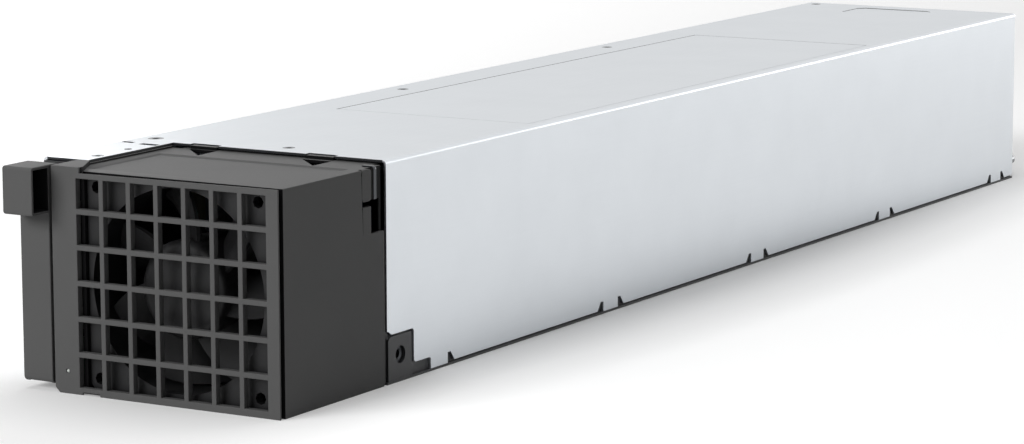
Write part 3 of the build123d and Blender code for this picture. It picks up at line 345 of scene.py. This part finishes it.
def moulded_plastic(name, colour, roughness, grain_mm, grain_depth_mm, gloss=0.3):
    """Plastic from a textured tool, or a dull ceramic: a fine grain that softens the sheen."""
    material, tree, place = new_material(name)
    grain = noise(tree, place, grain_mm, 3.0)
    # Faint change of tone where the melt flowed, about 25 mm long
    flow = noise(tree, place, 25, 2.0)
    darker = tuple(FLOW_SHADE * part for part in linear(colour)[:3]) + (1.0,)
    shade(
        tree, Specular_IOR_Level=gloss,
        Base_Color=two_tones(tree, flow, linear(colour), darker),
        Roughness=mapped(tree, grain, roughness - GRAIN_ROUGHNESS, roughness + GRAIN_ROUGHNESS),
        Normal=relief(tree, grain, 0.4, grain_depth_mm),
    )
    return material


def board_laminate():
    """Glass-epoxy board under green solder mask: raised tracks show a lighter green."""
    material, tree, place = new_material("green_glass_epoxy_board")
    # Tracks and pads on a 2.5 mm grid
    tracks = add_node(
        tree, "ShaderNodeTexVoronoi", {"distance": "MANHATTAN", "feature": "F1"},
        Vector=place, Scale=1 / (2.5 * MM), Randomness=0.6,
    )
    edge = mapped(tree, tracks.outputs["Distance"], 0.0, 1.0, 0.3, 0.4)
    shade(
        tree, Roughness=0.35,
        Base_Color=two_tones(tree, edge, linear("2f7a45"), linear("1b5130")),
        Normal=relief(tree, edge, 0.4, 0.03),
    )
    return material


def enamelled_wire():
    """Copper under a clear coat: warm and glossy, with darker patches about 3 mm across."""
    material, tree, place = new_material("enamelled_copper_wire")
    patch = noise(tree, place, 3, 3.0)
    shade(
        tree, Metallic=1.0, Roughness=0.32, Coat_Weight=0.5, Coat_Roughness=0.1,
        Base_Color=two_tones(tree, patch, linear("c47a45"), linear("8e4a22")),
    )
    return material


def extruded_aluminium():
    """Mill-finish aluminium extrusion: soft bright metal with die lines along its height."""
    material, tree, place = new_material("extruded_aluminium")
    drawn = add_node(tree, "ShaderNodeMapping", Vector=place, Scale=(1, 1, DRAWN_SHARE))
    # Die lines, 0.5 mm apart
    lines = noise(tree, drawn.outputs["Vector"], 0.5, 2.0)
    shade(
        tree, Metallic=1.0, Roughness=0.35,
        Base_Color=two_tones(tree, lines, linear("d2d4d6"), linear("bfc2c5")),
        Normal=relief(tree, lines, 0.3, 0.01),
    )
    return material


def clear_light_pipe():
    """Clear polycarbonate light pipe with a polished end: bright, with a small sharp highlight."""
    material, tree, place = new_material("clear_polycarbonate")
    haze = noise(tree, place, 0.6, 2.0)
    shade(
        tree, Roughness=0.12, IOR=1.58, Transmission_Weight=0.25,
        Base_Color=two_tones(tree, haze, linear("e9ede9"), linear("c9d0ca")),
    )
    return material


FINISHES = {
    "cover_steel": galvanised_sheet(),
    "tray_steel": coated_sheet(),
    # Machine screws and pins with bright zinc, dulled by handling
    "fastener_steel": plated_steel("zinc_plated_screw_steel", "7d7f81", 0.36),
    # Tempered strip, rolled bright
    "spring_steel": plated_steel("bright_spring_steel", "b9bcbf", 0.26),
    # Black zinc: a dark satin film that keeps a metal glint
    "black_steel": plated_steel("black_zinc_plated_steel", "4a4c4f", 0.3, 0.9),
    # PC/ABS of the shroud and grille; the 0.5 mm grain is drawn at 0.9 mm to show
    "shroud_plastic": moulded_plastic("moulded_pc_abs", "585858", 0.64, 0.9, 0.05, 0.14),
    # Glass-filled nylon of the lever, textured like the shroud
    "lever_plastic": moulded_plastic("moulded_lever_nylon", "585858", 0.64, 0.9, 0.05, 0.14),
    # Glass-filled PBT of the fan, smoother than the shroud
    "fan_plastic": moulded_plastic("moulded_fan_pbt", "202021", 0.46, 0.6, 0.03, 0.35),
    "lens_plastic": clear_light_pipe(),
    "board_laminate": board_laminate(),
    "copper": enamelled_wire(),
    # Sintered ferrite: a dull, near-black ceramic with ground faces
    "ferrite": moulded_plastic("sintered_ferrite", "2f2f31", 0.7, 0.4, 0.04),
    "heatsink_aluminium": extruded_aluminium(),
    # PVC sleeve shrunk on the can: smooth and slightly glossy
    "capacitor_sleeve": moulded_plastic("shrunk_pvc_sleeve", "23304a", 0.3, 6.0, 0.05, 0.5),
    # Epoxy-filled box of a film capacitor
    "film_case": moulded_plastic("film_capacitor_case", "b9983a", 0.4, 1.2, 0.03, 0.4),
    # Transfer-moulded epoxy of a chip: matt black
    "chip_epoxy": moulded_plastic("moulded_chip_epoxy", "1e1e20", 0.6, 0.3, 0.02),
    # Die-cut insulating film, milky and smooth
    "insulating_film": moulded_plastic("insulating_film", "c4beaa", 0.42, 3.0, 0.03, 0.4),
    # Glass-filled nylon of the connector, with a light fibre bloom
    "connector_plastic": moulded_plastic("glass_filled_nylon", "232326", 0.5, 0.7, 0.04),
    # Bonded ring magnet: dull grey brown
    "magnet": moulded_plastic("bonded_magnet", "332f2b", 0.65, 0.5, 0.04),
}
# Painted shade for the inner faces of the shroud, its groove and catch notch, the grille's plug and
# the lever's grip hollow: the same plastic, coloured near black
PAINTED_SHADE_PLASTIC = moulded_plastic("pc_abs_painted_shade", "0d0d0e", 0.6, 3.0, 0.02, 0.12)

# Points closer than the first are one, and places within the second are the same place. Sides
# that meet at less than the flat angle are one side.
MERGE = 0.001 * MM
TINY = 0.01 * MM
FLAT_ANGLE = math.radians(0.4)
ROUNDING_STEPS = 2
ROUNDING_WEIGHT = 80


def solids_of(node):
    """Lowest and highest corner of each separate solid of a CAD node, in metres."""
    shape = bmesh.new()
    shape.from_mesh(nodes[node].data)
    bmesh.ops.remove_doubles(shape, verts=shape.verts, dist=MERGE)
    waiting = set(shape.verts)
    solids = []
    while waiting:
        start = waiting.pop()
        group = [start]
        for vert in group:
            for edge in vert.link_edges:
                other = edge.other_vert(vert)
                if other in waiting:
                    waiting.remove(other)
                    group.append(other)
        low = Vector([min(vert.co[i] for vert in group) for i in range(3)])
        high = Vector([max(vert.co[i] for vert in group) for i in range(3)])
        solids.append((low, high))
    shape.free()
    return sorted(solids, key=lambda corners: (corners[0].y, corners[0].x))


def copy_of(node, whole_sides=True):
    """Merged copy of a CAD node. Where asked, each flat side becomes one face."""
    shape = bmesh.new()
    shape.from_mesh(nodes[node].data)
    bmesh.ops.remove_doubles(shape, verts=shape.verts, dist=MERGE)
    if whole_sides:
        bmesh.ops.dissolve_limit(
            shape, angle_limit=FLAT_ANGLE, verts=shape.verts, edges=shape.edges
        )
    return shape


def make_piece(
    shape, name, node, edge_mm=0.0, slot=None, stands_for=True, smooth=34.0, second=None
):
    """Finish a mesh as a named piece that rides and is coloured as its CAD node."""
    data = bpy.data.meshes.new(name)
    shape.to_mesh(data)
    shape.free()
    data.shade_smooth()
    piece = bpy.data.objects.new(name, data)
    bpy.context.scene.collection.objects.link(piece)
    slot = slot or slot_of[node]
    data.materials.append(FINISHES[slot])
    if second:
        data.materials.append(second)
    if edge_mm:
        rounding = piece.modifiers.new("rounded_edges", "BEVEL")
        rounding.width = edge_mm * MM
        rounding.segments = ROUNDING_STEPS
        rounding.limit_method = "ANGLE"
        rounding.angle_limit = math.radians(smooth)
        rounding.use_clamp_overlap = False
        rounding.loop_slide = False
        even = piece.modifiers.new("flat_sides", "WEIGHTED_NORMAL")
        even.keep_sharp = False
        even.weight = ROUNDING_WEIGHT
    else:
        data.set_sharp_from_angle(angle=math.radians(smooth))
    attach(piece, body_of[node])
    if stands_for:
        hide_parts(node)


def turned(shape, centre, axis, profile, steps=32, closed=False):
    """Turn a profile of (along the axis, radius) points in millimetres round an axis."""
    across = Vector((1, 0, 0)) if abs(axis[0]) < 0.5 else Vector((0, 1, 0))
    verts = [
        shape.verts.new(Vector(centre) + Vector(axis) * along * MM + across * radius * MM)
        for along, radius in profile
    ]
    pairs = list(zip(verts, verts[1:])) + ([(verts[-1], verts[0])] if closed else [])
    edges = [shape.edges.new(pair) for pair in pairs]
    bmesh.ops.spin(
        shape, geom=verts + edges, cent=centre, axis=axis, angle=2 * math.pi,
        steps=steps, use_merge=True,
    )
    bmesh.ops.remove_doubles(shape, verts=shape.verts, dist=MERGE / 2)
    bmesh.ops.recalc_face_normals(shape, faces=shape.faces)


# Countersunk screws in the top, with a six-lobed drive recess
HEAD_SIDES = 24
LOBE_GROUP = 4
LOBE_SHARE = 0.72
CONE_DROP = 1.0
POINT_DROP = 0.4
POINT_SHARE = 0.6
RIM_WIDTH = 0.15
RECESS_DEPTH = 1.1
HEAD_SINK = 0.05


def countersunk_screw(shape, top, head, shank, length, recess):
    """Add one screw whose head is flush with the sheet."""
    def bearing(vert):
        """Direction of a point as seen from the middle of the head."""
        return math.atan2(vert.co.y - top.y, vert.co.x - top.x)

    ring = bmesh.ops.create_circle(shape, segments=HEAD_SIDES, radius=head * MM, cap_ends=True)
    bmesh.ops.translate(shape, verts=ring["verts"], vec=top)
    face = ring["verts"][0].link_faces[0]
    around = set(ring["verts"])
    low = [edge for edge in shape.edges if around.issuperset(edge.verts)]
    # Cone, shank and a blunt end below
    for radius, drop in (
        (shank, CONE_DROP), (shank, length - CONE_DROP - POINT_DROP),
        (shank * POINT_SHARE, POINT_DROP),
    ):
        grown = bmesh.ops.extrude_edge_only(shape, edges=low)
        points = [part for part in grown["geom"] if isinstance(part, bmesh.types.BMVert)]
        low = [part for part in grown["geom"] if isinstance(part, bmesh.types.BMEdge)]
        for vert in points:
            out = Vector((vert.co.x - top.x, vert.co.y - top.y, 0)).normalized()
            vert.co = Vector((top.x, top.y, vert.co.z - drop * MM)) + out * radius * MM
        low = [edge for edge in low if all(vert in points for vert in edge.verts)]
    bmesh.ops.contextual_create(shape, geom=low)
    # Narrow rim, then the drive recess
    for width in (RIM_WIDTH, head - RIM_WIDTH - recess):
        bmesh.ops.inset_region(shape, faces=[face], thickness=width * MM, depth=0.0)
    for i, vert in enumerate(sorted(face.verts, key=bearing)):
        if i % LOBE_GROUP in (2, 3):
            vert.co = top + (vert.co - top) * LOBE_SHARE
    sunk = bmesh.ops.extrude_discrete_faces(shape, faces=[face])["faces"]
    bmesh.ops.translate(shape, verts=sunk[0].verts, vec=(0, 0, -RECESS_DEPTH * MM))


def make_screws():
    """Five small screws and the larger one of the bulkhead."""
    for node, name, head, shank, recess in (
        ("cover_screws", "small_cover_screws", 2.36, 1.45, 1.25),
        ("bulkhead_screw", "large_bulkhead_screw", 3.2, 1.65, 1.6),
    ):
        shape = bmesh.new()
        for low, high in solids_of(node):
            top = Vector(((low.x + high.x) / 2, (low.y + high.y) / 2, high.z - HEAD_SINK * MM))
            countersunk_screw(shape, top, head, shank, (high.z - low.z) / MM, recess)
        bmesh.ops.recalc_face_normals(shape, faces=shape.faces)
        make_piece(shape, name, node, smooth=40.0)


make_screws()


def make_ear_nut():
    """Clinch nut behind the side ear: a thin collar, a wide foot and a chamfered thread mouth."""
    low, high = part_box("ear_nut")
    centre = Vector((high[0], (low[1] + high[1]) / 2, (low[2] + high[2]) / 2))
    shape = bmesh.new()
    turned(
        shape, centre, (-1, 0, 0),
        [
            (0.0, 2.2), (0.0, 3.1), (0.2, 3.3), (1.0, 3.3), (1.0, 4.6), (1.3, 4.9),
            (3.9, 4.9), (4.3, 4.6), (4.3, 2.2), (3.8, 1.65), (0.5, 1.65),
        ],
        closed=True,
    )
    make_piece(shape, "clinch_nut", "ear_nut")


make_ear_nut()


# Guide pins: riveted collar, straight body and a round nose
NOSE_LENGTH = 2.4


def make_guide_pins():
    """Two turned pins that lead the unit into its bay."""
    shape = bmesh.new()
    for low, high in solids_of("guide_pins"):
        root = Vector(((low.x + high.x) / 2, low.y, (low.z + high.z) / 2))
        reach = (high.y - low.y) / MM
        straight = reach - NOSE_LENGTH
        turned(
            shape, root, (0, 1, 0),
            [
                (0.0, 0.0), (0.0, 2.4), (0.2, 2.65), (1.0, 2.65), (1.2, 1.7), (2.2, 1.7),
                (2.2, 2.3), (2.3, 2.4), (straight, 2.4), (straight + 0.9, 2.2),
                (straight + 1.6, 1.75), (straight + 2.1, 1.1), (reach, 0.0),
            ],
        )
    make_piece(shape, "turned_guide_pins", "guide_pins")


make_guide_pins()


def make_status_lens():
    """Light pipe of the status light, with a low dome that stays flush with the grille."""
    low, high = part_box("status_lens")
    root = Vector(((low[0] + high[0]) / 2, low[1], (low[2] + high[2]) / 2))
    shape = bmesh.new()
    turned(
        shape, root, (0, 1, 0),
        [
            (0.02, 0.0), (0.1, 0.35), (0.3, 0.62), (0.6, 0.74), (2.8, 0.74), (2.8, 1.7),
            (4.2, 1.7), (4.2, 0.74), (6.0, 0.74), (6.0, 0.0),
        ],
        steps=20,
    )
    make_piece(shape, "status_light_pipe", "status_lens")


make_status_lens()


# Fan rotor: a cup with a round rim and seven blades, cambered and twisted from root to tip
BLADES = 7
BLADE_ROOT = 17.7
BLADE_TIP = 37.1
BLADE_CHORD = 27.0
BLADE_CAMBER = 2.6
BLADE_THICK = 1.5
BLADE_MIDDLE = 14.75
BLADE_ROWS = 8
CHORD_STEPS = 12
ROOT_PITCH = math.radians(38.0)
TIP_PITCH = math.radians(54.0)
TIP_SWEEP = math.radians(7.0)
FAN_MIDDLE_X = 10.96 * MM
HUB_STEPS = 48


def make_fan_rotor():
    """One blade is shaped from a grid, copied round the hub, and the hub is turned."""
    low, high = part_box("fan_rotor")
    centre = Vector((FAN_MIDDLE_X, low[1], (low[2] + high[2]) / 2))
    reach = (BLADE_TIP - BLADE_ROOT) * MM
    chord = BLADE_CHORD * MM
    shape = bmesh.new()
    bmesh.ops.create_grid(shape, x_segments=BLADE_ROWS, y_segments=CHORD_STEPS, size=0.5)
    bmesh.ops.scale(shape, verts=shape.verts, vec=(reach, chord, 1))
    for i in range(BLADE_ROWS + 1):
        share = i / BLADE_ROWS
        row = [vert for vert in shape.verts if abs(vert.co.x - (share - 0.5) * reach) < TINY]
        for vert in row:
            across = vert.co.y / (chord / 2)
            vert.co.z = BLADE_CAMBER * MM * (1 - across * across)
        pitch = ROOT_PITCH + (TIP_PITCH - ROOT_PITCH) * share
        bmesh.ops.rotate(shape, verts=row, cent=(0, 0, 0), matrix=Matrix.Rotation(pitch, 3, "X"))
    bmesh.ops.translate(shape, verts=shape.verts, vec=((BLADE_ROOT + BLADE_TIP) / 2 * MM, 0, 0))
    for vert in shape.verts:
        share = (vert.co.x / MM - BLADE_ROOT) / (BLADE_TIP - BLADE_ROOT)
        radius = vert.co.x
        # Blade rows follow the circle, and the tip leads a little
        angle = vert.co.z / radius + TIP_SWEEP * share * share
        vert.co = Vector((radius * math.cos(angle), vert.co.y, radius * math.sin(angle)))
    bmesh.ops.solidify(shape, geom=shape.faces[:], thickness=BLADE_THICK * MM)
    bmesh.ops.recalc_face_normals(shape, faces=shape.faces)
    step = 2 * math.pi / BLADES
    bmesh.ops.spin(
        shape, geom=shape.verts[:] + shape.edges[:] + shape.faces[:], cent=(0, 0, 0),
        axis=(0, 1, 0), angle=step * (BLADES - 1), steps=BLADES - 1, use_duplicate=True,
    )
    bmesh.ops.translate(shape, verts=shape.verts, vec=centre + Vector((0, BLADE_MIDDLE * MM, 0)))
    turned(
        shape, centre, (0, 1, 0),
        [
            (0.0, 0.0), (0.0, 9.0), (0.15, 9.3), (0.15, 14.6), (0.5, 16.4), (1.3, 17.7),
            (2.6, 18.4), (4.0, 18.5), (29.5, 18.5), (29.5, 17.3), (1.4, 17.3), (1.4, 0.0),
        ],
        steps=HUB_STEPS,
    )
    make_piece(shape, "fan_impeller", "fan_rotor", smooth=38.0)


make_fan_rotor()


def make_capacitors(node, name, radius):
    """Cans with a rolled groove in shrunk sleeves, and the bare ends that these leave open."""
    sleeves = bmesh.new()
    ends = bmesh.new()
    for low, high in solids_of(node):
        root = Vector(((low.x + high.x) / 2, (low.y + high.y) / 2, low.z))
        tall = (high.z - low.z) / MM
        turned(
            sleeves, root, (0, 0, 1),
            [
                (0.0, 0.0), (0.0, radius - 0.5), (0.4, radius), (tall * 0.08, radius),
                (tall * 0.1, radius - 0.6), (tall * 0.12, radius), (tall - 0.9, radius),
                (tall - 0.2, radius - 0.4), (tall, radius - 1.0), (tall - 0.1, radius * 0.82),
                (tall - 0.4, radius * 0.8), (tall - 0.4, 0.0),
            ],
        )
        turned(
            ends, root, (0, 0, 1),
            [
                (tall - 0.6, 0.0), (tall - 0.6, radius * 0.8),
                (tall - 0.3, radius * 0.79), (tall - 0.3, 0.0),
            ],
        )
    make_piece(sleeves, f"{name}_sleeves", node)
    make_piece(ends, f"{name}_ends", node, slot="heatsink_aluminium", stands_for=False)


make_capacitors("bulk_capacitors", "bulk_capacitor", 17.1)
make_capacitors("output_capacitors", "output_capacitor", 7.8)


# Wound ring chokes: each second step of the ring is drawn in, so the turns of wire show
WINDING_SIDES = 12
WINDING_DIP = 0.9


def make_chokes(node, name, axis, middle, tube, turns):
    """Ring chokes of one size, wound all round."""
    on_edge = axis == (0, 1, 0)
    way = Vector(axis)
    shape = bmesh.new()
    for low, high in solids_of(node):
        centre = (low + high) / 2
        ring = bmesh.ops.create_circle(
            shape, segments=WINDING_SIDES, radius=tube * MM, cap_ends=False
        )["verts"]
        if not on_edge:
            bmesh.ops.rotate(
                shape, verts=ring, cent=(0, 0, 0), matrix=Matrix.Rotation(math.pi / 2, 3, "X")
            )
        bmesh.ops.translate(shape, verts=ring, vec=centre + Vector((middle * MM, 0, 0)))
        edges = list({edge for vert in ring for edge in vert.link_edges})
        bmesh.ops.spin(
            shape, geom=ring + edges, cent=centre, axis=axis, angle=2 * math.pi,
            steps=turns * 2, use_merge=True,
        )
        # Points of this choke, not of those made before it
        reach = (middle + tube + 1) * MM
        own = [vert for vert in shape.verts if (vert.co - centre).length < reach]
        for vert in own:
            flat = (vert.co - centre) - way * (vert.co - centre).dot(way)
            angle = math.atan2(flat.z if on_edge else flat.y, flat.x)
            if round(angle / (math.pi / turns)) % 2:
                core = centre + flat.normalized() * middle * MM
                vert.co = core + (vert.co - core) * WINDING_DIP
    bmesh.ops.remove_doubles(shape, verts=shape.verts, dist=MERGE)
    bmesh.ops.recalc_face_normals(shape, faces=shape.faces)
    make_piece(shape, name, node, slot="copper", smooth=80.0)


make_chokes("filter_chokes", "wound_filter_chokes", (0, 1, 0), 17.0, 5.8, 44)
make_chokes("boost_choke", "wound_boost_choke", (0, 0, 1), 13.0, 7.8, 40)
make_chokes("output_chokes", "wound_output_chokes", (0, 0, 1), 11.0, 6.8, 34)


# Width of the rounded edge of every other node, in millimetres
EDGES = {
    "top_plate": 0.0,
    "bottom_tray": 0.0,
    "rear_panel": 0.12,
    "side_catch": 0.12,
    "fan_frame": 0.08,
    "hinge_pin": 0.2,
    "lever_bracket": 0.15,
    "bracket_rivets": 0.25,
    "catch_spring": 0.06,
    "rear_connector": 0.3,
    "power_blades": 0.25,
    "signal_pins": 0.12,
    "air_baffle": 0.1,
    "insulator_sheet": 0.06,
    "main_board": 0.15,
    "fan_shaft": 0.15,
    "film_capacitors": 0.8,
    "inrush_relay": 0.6,
    "transformer_windings": 1.2,
    "fan_plug": 0.4,
}
USUAL_EDGE = 0.2


# Shroud and grille, from the CAD: walls, groove and the notch of the side catch. The last four
# limits say which way a face looks.
FRONT_Y = cad_bounds[0][1] + 10.0 * MM
GROOVE_BACK = FRONT_Y + 2.8 * MM
GRILLE_RIM = FRONT_Y + 0.8 * MM
SHROUD_WALL = 2.2 * MM
ROOF_DROP = 1.4 * MM
NOTCH_FRONT = FRONT_Y + 54.0 * MM
NOTCH_LOW = 59.0 * MM
NOTCH_DEEP = 1.5 * MM
RIB_LOW = 71.3 * MM
LEDGE_GAP = 1.0 * MM
RIM_DROP = 0.5 * MM
RIM_TAPER = 1.5
GRILLE_TOP_GAP = 1.7 * MM
PLUG_INSET = 1.6 * MM
HOUSING_TOP = 83.3 * MM
SNAP_FRONT = FRONT_Y + 56.0 * MM
ROOF_THICK = 1.5 * MM
FORWARD_NORMAL = -0.9
UPRIGHT_NORMAL = 0.3
SIDE_NORMAL = 0.4
FLAT_NORMAL = 0.85

# Cut edges of the cover and the hollow of the lever's grip, where painted shade goes
CUT_DEPTH = 0.99 * MM
CUT_END = 1.0 * MM
CUT_SIDE = 2.0 * MM
LEVER_WALL = 1.1 * MM
GRIP_TALL = 18.0 * MM


def make_fan_housing():
    """Shroud with crisp outer edges; its inside, groove, head sides, snap recesses and catch notch
    get painted shade.
    """
    low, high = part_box("fan_housing")
    shape = copy_of("fan_housing", whole_sides=False)
    # The front of the ledge in the notch is set back a little
    for vert in shape.verts:
        if (
            abs(vert.co.y - NOTCH_FRONT) < TINY and vert.co.x > high[0] - NOTCH_DEEP - TINY
            and NOTCH_LOW - TINY < vert.co.z < RIB_LOW - TINY
        ):
            vert.co.y += LEDGE_GAP
    for face in shape.faces:
        centre = face.calc_center_median()
        inside = (
            low[0] + SHROUD_WALL - TINY < centre.x < high[0] - SHROUD_WALL + TINY
            and SHROUD_WALL / 2 < centre.z < high[2] - ROOF_DROP - ROOF_THICK
        )
        groove = abs(centre.y - GROOVE_BACK) < TINY and face.normal.y < FORWARD_NORMAL
        upright = abs(face.normal.z) < UPRIGHT_NORMAL
        head_side = (
            upright and centre.z > HOUSING_TOP
            and (centre.y > GROOVE_BACK or face.normal.x > SIDE_NORMAL)
        )
        recess = (
            upright and HOUSING_TOP - ROOF_DROP < centre.z < HOUSING_TOP
            and centre.y > SNAP_FRONT and centre.x < high[0] - SHROUD_WALL
        )
        notch_field = (
            centre.x < high[0] - NOTCH_DEEP / 2 and centre.x > high[0] - SHROUD_WALL
            and centre.y > NOTCH_FRONT and centre.z > NOTCH_LOW
        )
        # Painted shade on faces inside the shroud, in its groove, on the head's sides, in the snap
        # recesses and in the notch
        if inside or groove or head_side or recess or notch_field:
            face.material_index = 1
    make_piece(shape, "moulded_fan_shroud", "fan_housing", 0.14, second=PAINTED_SHADE_PLASTIC)


def make_front_grille():
    """Grille plate with rounded bars; the sides of its plug behind the rim get painted shade, so the
    groove reads dark.
    """
    shape = copy_of("front_grille", whole_sides=False)
    low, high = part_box("front_grille")
    # The rim stands a little lower than the roof towards the left, so a dark line shows there
    for vert in shape.verts:
        if abs(vert.co.z - HOUSING_TOP) < TINY:
            share = (high[0] - vert.co.x) / (high[0] - low[0])
            vert.co.z -= RIM_DROP * min(1.0, RIM_TAPER * share)
    for face in shape.faces:
        centre = face.calc_center_median()
        plug_side = GRILLE_RIM < centre.y < GROOVE_BACK and (
            centre.x < low[0] + PLUG_INSET or centre.x > high[0] - PLUG_INSET
            or centre.z < PLUG_INSET or centre.z > high[2] - GRILLE_TOP_GAP - PLUG_INSET
        )
        # Painted shade on the sides of the plug, in the groove behind the rim
        if plug_side:
            face.material_index = 1
    make_piece(shape, "moulded_grille", "front_grille", 0.22, second=PAINTED_SHADE_PLASTIC)


def make_main_cover():
    """Folded cover. The sheared edges of its openings get the tray's black coat as painted shade, and
    read as dark outlines.
    """
    shape = copy_of("main_cover", whole_sides=False)
    low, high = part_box("main_cover")
    for face in shape.faces:
        centre = face.calc_center_median()
        # Painted shade: upright cut faces near the top, round the openings and seams, take the black
        # coat
        if (
            abs(face.normal.z) < FLAT_NORMAL and centre.z > high[2] - CUT_DEPTH
            and centre.y < high[1] - CUT_END
            and low[0] + CUT_SIDE < centre.x < high[0] - CUT_SIDE
        ):
            face.material_index = 1
    make_piece(shape, "folded_cover", "main_cover", 0.08, second=FINISHES["tray_steel"])


def make_ejector_lever():
    """Lever with rounded edges; the faces in the hollow of its grip get painted shade."""
    shape = copy_of("ejector_lever", whole_sides=False)
    low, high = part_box("ejector_lever")
    for face in shape.faces:
        centre = face.calc_center_median()
        # Painted shade on the faces inside the hollow of the grip
        if (
            low[0] + LEVER_WALL < centre.x < high[0] - TINY
            and low[1] + LEVER_WALL < centre.y < FRONT_Y - TINY
            and high[2] - GRIP_TALL + LEVER_WALL < centre.z < high[2] - LEVER_WALL
        ):
            face.material_index = 1
    make_piece(shape, "moulded_ejector_lever", "ejector_lever", 0.4, second=PAINTED_SHADE_PLASTIC)


make_fan_housing()
make_front_grille()
make_ejector_lever()
make_main_cover()


def make_other_pieces():
    """Every node without a piece of its own yet, with its edges rounded."""
    done = {name for name in nodes if nodes[name].hide_render}
    for node in nodes:
        if node not in done:
            make_piece(copy_of(node), f"finished_{node}", node, EDGES.get(node, USUAL_EDGE))


make_other_pieces()

# White paper comes out white
bpy.context.scene.view_settings.view_transform = "Standard"
